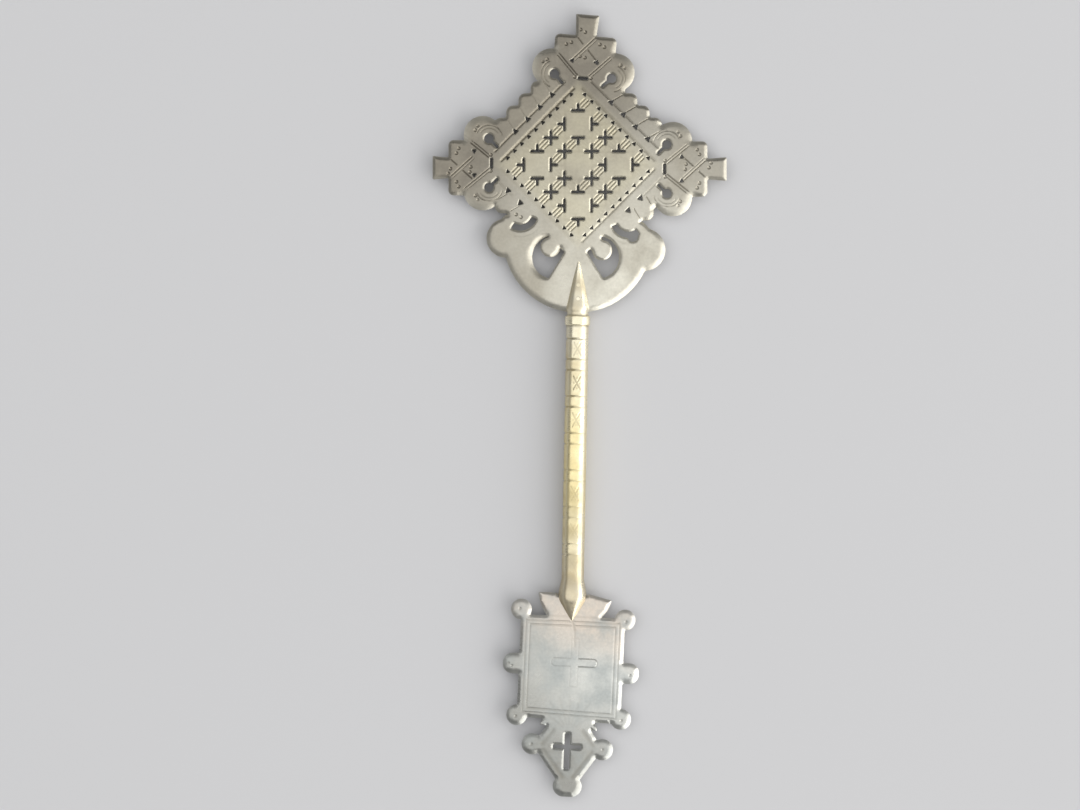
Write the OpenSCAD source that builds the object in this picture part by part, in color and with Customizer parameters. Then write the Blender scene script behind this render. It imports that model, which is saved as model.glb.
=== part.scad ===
// Hand cross: a pierced head plate and a square tablet plate, held by rivets in
// the forked ends of an eight-sided shaft. The cross lies on its back, with +Y
// up the shaft to the head and +Z out of its front. The origin is under the
// middle of its outline, on the surface it lies on.

/* [Plates] */
// Thickness of the head plate and the tablet plate
plate_t = 3; // [2:0.1:4]
// Gap between a plate and the saw cut that holds it, on every side
slot_gap = 0.05; // [0.02:0.01:0.2]
// Turn of the head in its fork, to the left
head_turn = 1.1; // [-3:0.1:3]
// Turn of the tablet in its fork, to the left
tablet_turn = -1.5; // [-3:0.1:3]

/* [Shaft] */
// Length of the grip, from the flare to the collar
grip_length = 110; // [80:1:150]
// Width of the grip across its flats
grip_width = 9.8; // [8:0.1:13]
// Depth of the incised rings
ring_depth = 0.3; // [0.1:0.05:0.6]
// Width of the incised rings
ring_width = 0.6; // [0.3:0.1:1.2]
// Distance of the first pair of rings from the flare
ring_start = 13; // [8:0.5:20]
// Distance from one pair of rings to the next
ring_pitch = 16; // [12:0.5:24]
// Distance between the two rings of a pair
ring_pair = 4.7; // [3:0.1:7]
// Distance of the last single ring from the collar
ring_end = 5.8; // [4:0.1:8]

/* [Collar] */
// Length of the collar along the shaft
collar_length = 4.2; // [2:0.1:6]
// How far the collar stands out from the grip
collar_proud = 0.6; // [0.3:0.1:1.5]
// Depth of the turned seat under the collar
seat_depth = 0.8; // [0.4:0.1:1.4]
// Gap between the collar and its seat
collar_gap = 0.03; // [0.01:0.01:0.1]

/* [Upper fork] */
// Length of the neck between the collar and the fork
neck_length = 1.4; // [1:0.1:5]
// How far the neck is filed in from the grip
neck_cut = 0.2; // [0:0.1:0.6]
// Distance from the neck to the widest place of the fork
shoulder_rise = 1.4; // [1:0.1:4]
// How far the widest place stands out from the grip
shoulder_swell = 0.4; // [0:0.1:1]
// Length of the fork's point above its widest place
fork_length = 20.7; // [15:0.1:26]
// Width of the blunt tips of both forks
tip_width = 1.7; // [1:0.1:3]
// Thickness of a prong at its tip
tip_lip = 0.35; // [0.2:0.05:1]

/* [Lower fork] */
// Length of the flare below the grip
flare_length = 8.3; // [5:0.1:14]
// How far the flare's end stands out from the grip at each side
flare_swell = 1.6; // [0.8:0.1:3]
// Length of the point below the flare
spear_length = 9.5; // [7:0.1:14]
// Distance from the grip to the bottom of the lower saw cut
tablet_seat = 6.9; // [3:0.1:7.5]

/* [Rivets] */
// Diameter of the rivets
rivet_d = 1.8; // [1.2:0.1:2.2]
// Gap between a rivet and its holes
rivet_gap = 0.02; // [0.01:0.01:0.1]
// Distance of the first head rivet from the bottom of its saw cut
head_rivet_in = 5.9; // [3:0.1:8]
// Distance between the two head rivets
head_rivet_step = 6; // [4:0.1:8]
// Distance of the first tablet rivet from the bottom of its saw cut
tablet_rivet_in = 2.7; // [2:0.1:4]
// Distance between the two tablet rivets
tablet_rivet_step = 3.5; // [2.6:0.1:4]

/* [Lattice] */
// Distance between neighbouring cuts of the lattice
lattice_pitch = 5.9; // [5.4:0.1:7]
// Overall length of the arms of a cross cut
cross_arm = 6.4; // [4:0.1:7]
// Length of the bar of a tee cut
tee_bar = 6; // [4:0.1:7]
// Length of the stem of a tee cut
tee_stem = 3.1; // [1.5:0.1:3.6]
// Width of the saw cuts
cut_width = 1.05; // [0.6:0.05:1.4]

/* [Frame and border] */
// Distance from the lattice to the inner row of holes
lattice_margin = 4.8; // [3.5:0.1:7]
// Distance between holes of the inner row
inner_pitch = 4.33; // [3.5:0.01:6]
// Holes in each side of the inner row
inner_count = 10; // [6:1:11]
// Radius of the three-cornered holes of the inner row
inner_hole = 1.2; // [0.5:0.05:1.3]
// Width of the plain band between the two rows of holes
frame_band = 5.7; // [4:0.1:8]
// Radius of the three-cornered holes of the outer row
outer_hole = 1.6; // [0.7:0.05:1.8]
// Shift of the outer row along each side, clockwise
outer_shift = 2.3; // [0:0.1:3]
// Distance from the outer row to the notches of the border
border_band = 7.1; // [5.5:0.1:9]
// Distance between the steps of the border, and between the outer holes
border_pitch = 7.5; // [6:0.1:9]
// Rounding of the steps of the border
step_round = 2.9; // [1:0.1:3.5]

/* [Corners] */
// Radius of the curls
curl_r = 8.3; // [7:0.1:9.5]
// Distance of the curls from the border's corner, inwards
curl_in = 10.3; // [8:0.1:12]
// Distance of a curl from the middle line of the left and right corners
curl_side = 12.2; // [11:0.1:14]
// Distance of a curl from the middle line of the top corner
top_curl_side = 14; // [11:0.1:15]
// Radius of the keyhole in a curl
key_r = 2.1; // [1.2:0.1:2.6]
// Distance of the keyhole from the middle of its curl, inwards
key_in = 2.7; // [1.5:0.1:3.5]
// Distance of the keyhole from the middle of its curl, sideways
key_side = 1.6; // [0.5:0.1:2.5]
// Length of the keyhole's slot
key_slot = 5; // [3:0.1:6]
// Width of the keyhole's slot and of the slit
slit_width = 1.3; // [0.8:0.1:1.8]
// Length of the slit across the corner
slit_length = 4.5; // [2.5:0.1:6]
// Distance of the slit from the border's corner, inwards
slit_in = 14.7; // [12.5:0.1:15]
// Radius of the three-cornered holes beside the finial
finial_hole = 1.3; // [0.8:0.05:1.7]
// Distance of those holes from the border's corner, inwards
finial_hole_in = 6.6; // [5.5:0.1:8]
// Distance of those holes from the middle line
finial_hole_side = 5.2; // [4.4:0.1:6]
// How far the side tabs stand out past the border's corner
tab_out = 4.6; // [3:0.1:6]
// Half width of the left and right finials across their side tabs
tab_half = 12; // [10:0.1:13.5]
// Half width of the top finial across its side tabs
top_tab_half = 13.4; // [10:0.1:15]
// Half width of the end tab where it leaves the side tabs
end_root = 4.4; // [3:0.1:6]
// Half width of the end tab at its end
end_half = 5.1; // [3.5:0.1:7]
// Reach of the right end tab past the border's corner
right_reach = 13; // [9:0.1:18]
// Reach of the top end tab past the border's corner
top_reach = 13.7; // [9:0.1:18]
// Reach of the left end tab past the border's corner
left_reach = 11.5; // [9:0.1:18]
// Lean of the top corner, to the right
top_lean = 4.6; // [0:0.1:6]
// Sideways shift of the top corner, to the left
top_shift = 0.9; // [0:0.1:2]
// Drop of the right corner
right_drop = 1.8; // [0:0.1:3]
// Rise of the left corner's curls
left_rise = 0.8; // [0:0.1:2]
// Drop of the left corner's finial
left_drop = 1.2; // [0:0.1:3]

/* [Wing] */
// Radius of the half-disc below the lattice
wing_r = 32.4; // [30:0.1:36]
// Height of the half-disc's middle above the border's lower corner
wing_up = 19.9; // [17:0.1:22]
// Radius of the left ear
left_ear_r = 8.5; // [7:0.1:10]
// Distance of the left ear's middle inside the half-disc's rim
left_ear_in = 1.2; // [0:0.1:3]
// Drop of the left ear below the half-disc's middle
left_ear_drop = 0.1; // [0:0.1:3]
// Radius of the right ear
right_ear_r = 9.2; // [7:0.1:10]
// Distance of the right ear's middle inside the half-disc's rim
right_ear_in = 3.6; // [2:0.1:5]
// Drop of the right ear below the half-disc's middle
right_ear_drop = 5.1; // [3:0.1:6]
// Radius of the tongues of the lower border
tongue_r = 5.2; // [4:0.1:6]
// Distance of a tongue's middle inside the notches
tongue_in = 4.1; // [3:0.1:5]
// Width of the hooked slot round a tongue
hook_width = 2.7; // [1.5:0.1:3.5]
// Angle from the left tongue's tip to the start of its hooked slot
left_hook_from = 14; // [0:1:40]
// Angle from the right tongue's tip to the start of its hooked slot
right_hook_from = 7; // [0:1:40]
// Angle from a tongue's tip to the end of its hooked slot
hook_to = 114; // [90:1:125]
// Radius of the round widening of the right hooked slot
hook_bulb_r = 2.3; // [1.5:0.1:3]
// Angle from the right tongue's tip to that widening
hook_bulb_turn = 31; // [20:1:60]
// Distance of that widening's middle from the tongue's edge
hook_bulb_out = 2.4; // [1.5:0.1:3]
// Place of the left tongue along its side, towards the left corner
left_tongue = 3.1; // [1:0.1:5]
// Place of the right tongue along its side, away from the right corner
right_tongue = 1.3; // [-1:0.1:4]
// Radius of the large wing holes
wing_hole_r = 9.4; // [7:0.1:11]
// Distance of a wing hole's middle from the middle line
wing_hole_side = 9.5; // [8:0.1:11]
// Height of a wing hole's middle above the border's lower corner
wing_hole_up = 11.5; // [9:0.1:14]
// Distance of a wing hole's lower point from the middle line
wing_point_side = 12; // [10:0.1:14]
// Distance of a wing hole's upper end from the middle line
wing_end_side = 4.8; // [3.5:0.1:7]
// Shift of both wing holes, to the left
wing_shift = 1; // [0:0.1:2]
// Radius of the bulb that stands in a wing hole
bulb_r = 4.3; // [2.5:0.1:4.6]
// Distance of a bulb's middle inside the notches
bulb_in = 2.8; // [1.5:0.1:4]
// Place of a bulb along its side, from the side's middle
bulb_along = 17.8; // [15:0.1:20]

/* [Tablet] */
// Width of the tablet
tablet_w = 45.2; // [35:0.1:60]
// Height of the tablet
tablet_h = 45.2; // [35:0.1:60]
// Shift of the tablet in its fork, to the right
tablet_shift = 0.7; // [0:0.1:1.5]
// Rise of the tablet's lower left corner, and drop of its lower right one
tablet_slant = 0.8; // [0:0.1:1.5]
// Radius of the knobs at the tablet's corners
knob_r = 4.5; // [3:0.1:6]
// Radius of the knobs at the tablet's sides
side_knob_r = 4.5; // [3:0.1:6]
// How far the side knobs stand out
side_knob_out = 7; // [5:0.1:10]
// Rise of the upper corner knobs above the tablet's corners
knob_rise = 0.8; // [0:0.1:1.5]
// Rise of the upper left corner knob, and drop of the upper right one
top_knob_skew = 1.4; // [0:0.1:2]
// Rise of the lower corner knobs above the tablet's corners
low_knob_rise = 1.4; // [0:0.1:2]
// Rise of the left side knob, and drop of the right one
side_knob_skew = 1.2; // [0:0.1:2]
// Height of the crown above the tablet
crown_h = 9.3; // [9:0.1:12]
// Half width of the crown at the tablet
crown_root = 11.8; // [8:0.1:15]
// Half width of the crown at its top
crown_half = 16; // [9:0.1:18]
// Shift of the crown, to the right
crown_shift = 0.4; // [0:0.1:1.5]
// How far the ends of the crown bow outwards
crown_bow = 0.7; // [0:0.1:1.5]
// Drop of the crown's right tip
crown_skew = 2.4; // [0:0.1:3]
// How far the crown's two leaves rise beside the fork
crown_lift = 0.7; // [0:0.1:1.5]
// Gap between the leaves and the fork's flare
leaf_gap = 0.3; // [0.1:0.05:1]

/* [Pendant] */
// Height of the fins between the tablet and the pendant
fin_h = 3.1; // [1.5:0.1:5]
// Half width of the fins at the tablet
fin_root = 10.7; // [7:0.1:13]
// Half width of the fins at their points
fin_half = 12.6; // [8:0.1:16]
// Rise of the left fin's point, and drop of the right one's
fin_skew = 0.9; // [0:0.1:1.4]
// Half width of the neck below the fins
pendant_neck = 8.7; // [6:0.1:12]
// Distance of the pendant's side knobs below the tablet
pendant_drop = 11.5; // [9:0.1:14]
// Distance of the pendant's side knobs from the middle line
pendant_side = 15.3; // [13:0.1:19]
// Rise of the pendant's left knob, and drop of its right one
pendant_skew = 0.6; // [0:0.1:1.5]
// Radius of the pendant's side knobs
pendant_knob_r = 4.6; // [3:0.1:6]
// Distance of the foot knob's middle below the tablet
foot_drop = 28.6; // [26:0.1:34]
// Shift of the foot knob, to the right
foot_shift = 0.7; // [0:0.1:1.5]
// Width of the foot knob
foot_w = 12.6; // [9:0.1:16]
// Height of the foot knob
foot_h = 9.2; // [6:0.1:9.6]
// Half length of the pierced cross, sideways
hole_side = 6.2; // [4:0.1:9]
// Length of the pierced cross, up and down
hole_h = 15.6; // [10:0.1:17]
// Width of the upright of the pierced cross
hole_upright = 2.4; // [2:0.1:4]
// Width of the bar of the pierced cross
hole_bar = 1.7; // [1.5:0.1:4]
// Shift of the pierced cross, to the left
hole_shift = 0.1; // [0:0.1:1.5]
// Distance of the pierced cross below the tablet
hole_drop = 5.6; // [4.5:0.1:8]

/* [Hidden] */

$fn = 64;
root2 = sqrt(2);
overlap = 1;
bow_steps = 8;
far = 60;

// Half sizes of the shaft at its stations
grip_half = grip_width / 2;
collar_half = grip_half + collar_proud;
seat_r = grip_half - seat_depth;
neck_half = grip_half - neck_cut;
shoulder_half = grip_half + shoulder_swell;
flare_half = grip_half + flare_swell;
tip_half = tip_width / 2;
tip_depth_half = plate_t / 2 + tip_lip;

// The flare is as deep as the collar, so the cross lies level on both
rest_half = max(collar_half, shoulder_half);

// Places along the shaft, from the lower end of the grip
collar_y = grip_length;
neck_y = collar_y + collar_length;
fork_y = neck_y + neck_length;
shoulder_y = fork_y + shoulder_rise;
fork_tip_y = shoulder_y + fork_length;
flare_y = -flare_length;
spear_tip_y = flare_y - spear_length;

// Distances of the head's rows of holes and of its border from the lattice's middle
inner_row = (4 * lattice_pitch + tee_stem) / root2 + lattice_margin;
outer_row = inner_row + frame_band;
frame_edge = outer_row + outer_hole / 2;
border = outer_row + border_band;
corner = border * root2;
step_side = border_pitch / root2;

// Half-disc, ears and large holes of the wing
wing_drop = corner - wing_up;
hook_r = tongue_r + hook_width;
wing_hole_drop = corner - wing_hole_up;

// The head plate, placed by its lowest point and turned about its first rivet
head_bottom_y = fork_y + slot_gap;
head_pin_y = fork_y + head_rivet_in;
lattice_rise = head_bottom_y + wing_r + wing_drop - head_pin_y;
lattice_x = -lattice_rise * sin(head_turn);
lattice_y = head_pin_y + lattice_rise * cos(head_turn);

// The tablet plate, placed by its crown and turned about its first rivet
crown_y = -tablet_seat - slot_gap;
tablet_pin_y = -tablet_seat - tablet_rivet_in;
crown_rise = crown_y - tablet_pin_y;
tablet_top = crown_rise - crown_h;
tablet_mid = tablet_top - tablet_h / 2;
tablet_bottom = tablet_top - tablet_h;

// Middle of the whole outline
top_y = lattice_y + (corner + top_reach) * cos(head_turn - top_lean)
    + (end_half + top_shift) * sin(top_lean - head_turn);
foot_y = tablet_pin_y + (tablet_bottom - foot_drop) * cos(tablet_turn) - foot_h / 2
    + (tablet_shift + foot_shift) * sin(tablet_turn) - (foot_w - foot_h) / 2 * abs(sin(tablet_turn));
origin_x = lattice_x + (right_reach - left_reach) / 2;
origin_y = (top_y + foot_y) / 2;

module lay_on_back() translate([-origin_x, -origin_y, rest_half]) children();
module in_head() translate([0, head_pin_y]) rotate(head_turn) translate([0, lattice_rise]) children();
module in_tablet() translate([0, tablet_pin_y]) rotate(tablet_turn) children();
module plate() linear_extrude(height = plate_t, center = true) children();

// A bar that runs from one point of a straight line to another
module bar_cut(length, width) square([length, width], center = true);

// A slot with round ends, along +X from the origin
module round_slot(length, width) {
    circle(d = width);
    translate([0, -width / 2]) square([length, width]);
    translate([length, 0]) circle(d = width);
}

// A box along +X with its two far corners rounded, middle line on the X axis
module round_tab(length, half, round) {
    translate([0, -half]) square([length - round, 2 * half]);
    translate([0, round - half]) square([length, 2 * (half - round)]);
    for (side = [-1, 1]) translate([length - round, side * (half - round)]) circle(round);
}

// A flat bar of four corners, wider or narrower at its far end
module flared_tab(length, root_half, far_half)
    polygon([[0, -root_half], [length, -far_half], [length, far_half], [0, root_half]]);

// Head plate

// The sides of the head count from the upper right, against the clock. In a
// side's frame +X points outwards and -Y runs along the side, clockwise.
module on_side(side) rotate(45 + 90 * side) children();
module along_side(side, out, along) on_side(side) translate([out, -along]) children();

function outer_place(hole) = outer_shift + (hole - 1.5) * border_pitch;
function step_place(step) = (step - 1.5) * border_pitch;

module lattice_cuts() {
    for (x = [-1, 1], y = [-1, 1], k = [1, 2]) translate([x, y] * k * lattice_pitch) {
        bar_cut(cross_arm, cut_width);
        bar_cut(cut_width, cross_arm);
    }
    for (turn = [0 : 90 : 270]) rotate(turn) {
        translate([2 * lattice_pitch, 0]) rotate(180) tee_cut();
        translate([4 * lattice_pitch, 0]) tee_cut();
        for (side = [-1, 1]) translate([3, side] * lattice_pitch) rotate(90 * side) tee_cut();
    }
}

// A tee with its bar across the X axis and its stem along +X
module tee_cut() {
    bar_cut(cut_width, tee_bar);
    translate([0, -cut_width / 2]) square([tee_stem, cut_width]);
}

module frame_holes() {
    for (side = [0 : 3], hole = [0 : inner_count - 1])
        along_side(side, inner_row, (hole - (inner_count - 1) / 2) * inner_pitch) circle(inner_hole, $fn = 3);
    for (side = [0, 1], hole = [0 : 3]) along_side(side, outer_row, outer_place(hole)) circle(outer_hole, $fn = 3);
    for (hole = [2, 3]) along_side(2, outer_row, outer_place(hole)) circle(outer_hole, $fn = 3);
    for (hole = [0, 1]) along_side(3, outer_row, outer_place(hole)) circle(outer_hole, $fn = 3);
}

// A square step of the border, with its outer corner rounded and pointing along +X
module border_step() translate([-step_side / root2, 0]) rotate(-45) {
    square([step_side, step_side - step_round]);
    square([step_side - step_round, step_side]);
    translate([1, 1] * (step_side - step_round)) circle(step_round);
}

module border_steps() {
    for (side = [0, 1], step = [0 : 3]) along_side(side, border, step_place(step)) border_step();
    along_side(2, border, left_tongue + border_pitch) border_step();
    along_side(3, border, right_tongue - border_pitch) border_step();
}

// A corner points along +X from the lattice's middle
module corner_curls(spread)
    for (side = [-1, 1]) translate([corner - curl_in, side * spread]) circle(curl_r);

module corner_keyholes(spread) for (side = [-1, 1])
    translate([corner - curl_in - key_in, side * (spread - key_side)]) {
        circle(key_r);
        rotate(-135 * side) round_slot(key_slot, slit_width);
    }

module corner_finial(reach, half) {
    root = corner - finial_hole_in;
    translate([root, 0]) round_tab(tab_out + finial_hole_in, half, end_root / 2);
    translate([corner + tab_out - overlap, 0]) flared_tab(reach - tab_out + overlap, end_root, end_half);
}

module corner_finial_holes() for (side = [-1, 1])
    translate([corner - finial_hole_in, side * finial_hole_side]) rotate(90) circle(finial_hole, $fn = 3);

module corner_slit() translate([corner - slit_in, -slit_length / 2]) square([slit_width, slit_length]);

module right_curl_frame() translate([0, -right_drop]) children();
module top_frame() rotate(90 - top_lean) translate([0, top_shift]) children();
module left_curl_frame() rotate(180) translate([0, -left_rise]) children();
module left_finial_frame() rotate(180) translate([0, left_drop]) children();

module corners() {
    right_curl_frame() corner_curls(curl_side);
    right_curl_frame() corner_finial(right_reach, tab_half);
    top_frame() corner_curls(top_curl_side);
    top_frame() corner_finial(top_reach, top_tab_half);
    left_curl_frame() corner_curls(curl_side);
    left_finial_frame() corner_finial(left_reach, tab_half);
}

module corner_cuts() {
    right_curl_frame() corner_cut_set(curl_side);
    top_frame() corner_cut_set(top_curl_side);
    left_curl_frame() corner_cut_set(curl_side);
}

module corner_cut_set(spread) {
    corner_keyholes(spread);
    corner_finial_holes();
    corner_slit();
}

// Middles of the ears, and the notches of the border where their webs end
left_ear = [left_ear_in - wing_r, -wing_drop - left_ear_drop];
right_ear = [wing_r - right_ear_in, -wing_drop - right_ear_drop];
left_notch = left_tongue + border_pitch / 2;
right_notch = right_tongue - border_pitch / 2;
web_out = border + overlap;

// A point of a lower side of the border, by its distance outwards and its place clockwise
function lower_left(out, along) = [-out - along, along - out] / root2;
function lower_right(out, along) = [out - along, -out - along] / root2;

module wing() {
    intersection() {
        translate([0, -wing_drop]) circle(wing_r);
        translate([-wing_r, -wing_drop - wing_r]) square([2 * wing_r, wing_r]);
    }
    translate(left_ear) circle(left_ear_r);
    translate(right_ear) circle(right_ear_r);
    polygon([
        lower_left(web_out, left_notch),
        left_ear + [-1, 1] * left_ear_r * 0.6,
        left_ear,
        right_ear,
        right_ear + [1, 1] * right_ear_r * 0.6,
        lower_right(web_out, right_notch),
        [0, -frame_edge],
    ]);
}

// A slice of the plane from one angle to another
module slice(from, to, reach)
    polygon([[0, 0], reach * [cos(from), sin(from)], reach * [cos(to), sin(to)]]);

// A hooked slot round the tip and the lower side of a tongue, in the tongue's
// own frame, where +X points outwards
module hook_slot(from, to) difference() {
    intersection() {
        circle(hook_r);
        slice(from, to, 3 * hook_r);
    }
    circle(tongue_r);
}

module hook_bulb() difference() {
    rotate(-hook_bulb_turn) translate([tongue_r + hook_bulb_out, 0]) circle(hook_bulb_r);
    circle(tongue_r);
}

// Points given for the right of the middle line, and mirrored for the left
function on_right_or_left(side, points) =
    side > 0 ? points : [for (i = [len(points) - 1 : -1 : 0]) [-points[i][0], points[i][1]]];

// A large hole of the wing, with a bulb left standing in it
module wing_hole(side) difference() {
    translate([-wing_shift, 0]) intersection() {
        translate([side * wing_hole_side, -wing_hole_drop]) circle(wing_hole_r);
        polygon(on_right_or_left(side, [
            [wing_point_side, -wing_hole_drop - wing_hole_r],
            [wing_r, -wing_hole_drop - wing_hole_r],
            [wing_r, wing_r - frame_edge * root2],
            [wing_end_side, wing_end_side - frame_edge * root2],
        ]));
    }
    along_side(side > 0 ? 3 : 2, border - bulb_in, side * bulb_along + wing_shift) {
        circle(bulb_r);
        translate([-border_band, -bulb_r * 3 / 4]) square([border_band, bulb_r * 3 / 2]);
    }
}

module wing_cuts() {
    along_side(3, border - tongue_in, right_tongue) {
        hook_slot(-hook_to, -right_hook_from);
        hook_bulb();
    }
    along_side(2, border - tongue_in, left_tongue) hook_slot(left_hook_from, hook_to);
    for (side = [-1, 1]) wing_hole(side);
}

module head_outline() difference() {
    union() {
        rotate(45) square(2 * border + slit_width / 2, center = true);
        border_steps();
        corners();
        wing();
    }
    lattice_cuts();
    frame_holes();
    corner_cuts();
    wing_cuts();
}

module head_plate() color([0.76, 0.73, 0.63]) lay_on_back() difference() {
    plate() in_head() head_outline();
    head_pins(rivet_d + 2 * rivet_gap);
}

// Shaft

// A bar along Y with eight flats. Each station gives a place on Y, half the
// width and half the depth there.
module eight_sided(stations) intersection() {
    flat_pair(stations, 1, 0);
    rotate([0, 90, 0]) flat_pair(stations, 0, 1);
    rotate([0, 45, 0]) flat_pair(stations, 0.5, 0.5);
    rotate([0, -45, 0]) flat_pair(stations, 0.5, 0.5);
}

// Two opposite flats, whose distance is a share of the width and of the depth
module flat_pair(stations, of_width, of_depth) {
    half = [for (s = stations) s[1] * of_width + s[2] * of_depth];
    last = len(stations) - 1;
    linear_extrude(height = far, center = true) polygon(concat(
        [for (i = [0 : last]) [half[i], stations[i][0]]],
        [for (i = [last : -1 : 0]) [-half[i], stations[i][0]]]
    ));
}

fork_stations = [
    [fork_tip_y, tip_half, tip_depth_half],
    [shoulder_y, shoulder_half, shoulder_half],
    [fork_y, neck_half, neck_half],
    [neck_y, neck_half, neck_half],
];

spear_stations = [
    [0, grip_half, grip_half],
    [flare_y, flare_half, rest_half],
    [spear_tip_y, tip_half, tip_depth_half],
];

// Incised rings: pairs up the grip, and a single one below the collar
ring_pairs = floor((grip_length - ring_end - ring_start - ring_pair) / ring_pitch) + 1;
ring_places = concat(
    [grip_length - ring_end],
    [for (pair = [ring_pairs - 1 : -1 : 0], side = [1, -1]) ring_start + pair * ring_pitch + side * ring_pair / 2]
);
ring_half = grip_half - ring_depth;
grip_stations = concat(
    [[collar_y, grip_half, grip_half]],
    [for (y = ring_places, edge = [
        [y + ring_width / 2, grip_half],
        [y + ring_width / 2, ring_half],
        [y - ring_width / 2, ring_half],
        [y - ring_width / 2, grip_half],
    ]) [edge[0], edge[1], edge[1]]],
    spear_stations
);

module upper_fork() eight_sided(fork_stations);
module grip_and_spear() eight_sided(grip_stations);

// The saw cuts, turned with the plates they hold
module head_slot() linear_extrude(height = plate_t + 2 * slot_gap, center = true)
    in_head() translate([-far, -wing_drop - wing_r - slot_gap]) square(2 * far);
module tablet_slot() linear_extrude(height = plate_t + 2 * slot_gap, center = true)
    in_tablet() translate([-far, crown_rise + slot_gap - 2 * far]) square(2 * far);

module shaft() color([0.87, 0.79, 0.55]) lay_on_back() difference() {
    union() {
        upper_fork();
        translate([0, collar_y - overlap, 0]) rotate([-90, 0, 0]) cylinder(h = collar_length + 2 * overlap, r = seat_r);
        grip_and_spear();
    }
    head_slot();
    tablet_slot();
    head_pins(rivet_d + 2 * rivet_gap);
    tablet_pins(rivet_d + 2 * rivet_gap);
}

module upper_collar() color([0.85, 0.78, 0.58]) lay_on_back() difference() {
    eight_sided([[neck_y, collar_half, collar_half], [collar_y, collar_half, collar_half]]);
    translate([0, collar_y - overlap, 0]) rotate([-90, 0, 0])
        cylinder(h = collar_length + 2 * overlap, r = seat_r + collar_gap);
}

// Tablet plate, in a frame whose origin is its first rivet

module tablet_knobs() for (side = [-1, 1]) {
    translate([side * tablet_w / 2, tablet_top + knob_rise - side * top_knob_skew]) circle(knob_r);
    translate([side * tablet_w / 2, tablet_bottom + low_knob_rise]) circle(knob_r);
    translate([side * (tablet_w / 2 - overlap), tablet_mid - side * side_knob_skew]) rotate(90 - 90 * side)
        round_tab(side_knob_out + overlap, side_knob_r, side_knob_r * 0.9);
}

// Points from one place to another that bow out to the right of the way
function bowed(from, to, bow) = let (way = to - from, out = [way[1], -way[0]] / norm(way))
    [for (step = [0 : bow_steps]) let (t = step / bow_steps) from + t * way + 4 * t * (1 - t) * bow * out];

// Where the leaves of the crown end beside the fork, and how high they stand
leaf_end = flare_half + leaf_gap;
leaf_off = crown_shift + tablet_shift;
leaf_top = crown_h + crown_lift;

module crown() translate([crown_shift, tablet_top]) polygon(concat(
    [[-crown_root, -overlap], [crown_root, -overlap]],
    bowed([crown_root, 0], [crown_half, leaf_top - crown_skew], crown_bow),
    [
        [leaf_end - leaf_off, leaf_top],
        [leaf_end - leaf_off, crown_h],
        [-leaf_end - leaf_off, crown_h],
        [-leaf_end - leaf_off, leaf_top],
    ],
    bowed([-crown_half, leaf_top], [-crown_root, 0], crown_bow)
));

module pendant() {
    neck_y0 = tablet_bottom - fin_h;
    knob_y = tablet_bottom - pendant_drop;
    foot_mid = tablet_bottom - foot_drop;
    polygon([
        [-fin_root, tablet_bottom + overlap],
        [-fin_half, neck_y0 + fin_skew],
        [fin_half, neck_y0 - fin_skew],
        [fin_root, tablet_bottom + overlap],
    ]);
    polygon([
        [-pendant_neck, neck_y0 + overlap],
        [-pendant_side, knob_y + pendant_skew],
        [foot_shift - foot_w / 4, foot_mid],
        [foot_shift + foot_w / 4, foot_mid],
        [pendant_side, knob_y - pendant_skew],
        [pendant_neck, neck_y0 + overlap],
    ]);
    for (side = [-1, 1])
        translate([side * pendant_side, knob_y - side * pendant_skew]) circle(pendant_knob_r);
    translate([foot_shift - (foot_w - foot_h) / 2, foot_mid]) round_slot(foot_w - foot_h, foot_h);
}

module pendant_hole() translate([-hole_shift, tablet_bottom]) {
    translate([-hole_upright / 2, -hole_drop - hole_h]) square([hole_upright, hole_h]);
    translate([0, -pendant_drop]) bar_cut(2 * hole_side, hole_bar);
}

module tablet_outline() translate([tablet_shift, 0]) difference() {
    union() {
        polygon([
            [-tablet_w / 2, tablet_bottom + tablet_slant],
            [tablet_w / 2, tablet_bottom - tablet_slant],
            [tablet_w / 2, tablet_top],
            [-tablet_w / 2, tablet_top],
        ]);
        tablet_knobs();
        crown();
        pendant();
    }
    pendant_hole();
}

module tablet_plate() color([0.80, 0.79, 0.75]) lay_on_back() difference() {
    plate() in_tablet() tablet_outline();
    tablet_pins(rivet_d + 2 * rivet_gap);
}

// Rivets, filed flush with the prongs

module pins(first_y, step, d) for (pin = [0, 1])
    translate([0, first_y + pin * step, 0]) cylinder(h = far, d = d, center = true);
module head_pins(d) pins(head_pin_y, head_rivet_step, d);
module tablet_pins(d) pins(tablet_pin_y, -tablet_rivet_step, d);

module head_rivets() color([0.84, 0.76, 0.54]) lay_on_back() intersection() {
    head_pins(rivet_d);
    upper_fork();
}

module tablet_rivets() color([0.84, 0.76, 0.54]) lay_on_back() intersection() {
    tablet_pins(rivet_d);
    eight_sided(spear_stations);
}

head_plate();
shaft();
upper_collar();
tablet_plate();
head_rivets();
tablet_rivets();
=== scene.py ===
# %% [markdown]
# A hand cross is carried in the closed hand. Its head is one sheet of white metal, sawn through to a
# lattice of straps, and its foot is a square tablet of the same sheet. Both sit in saw cuts at the
# ends of an eight-sided brass bar. This lesson dresses the plain solids: every piece keeps its place
# and size, and gets the filed edges, chisel lines, punched dots and wear of the real one. Lengths are
# in millimetres until a mesh is made.

# %% Load the solids and note their box
from itertools import product

import bpy
import numpy as np
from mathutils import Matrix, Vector
from mathutils.geometry import delaunay_2d_cdt


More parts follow.
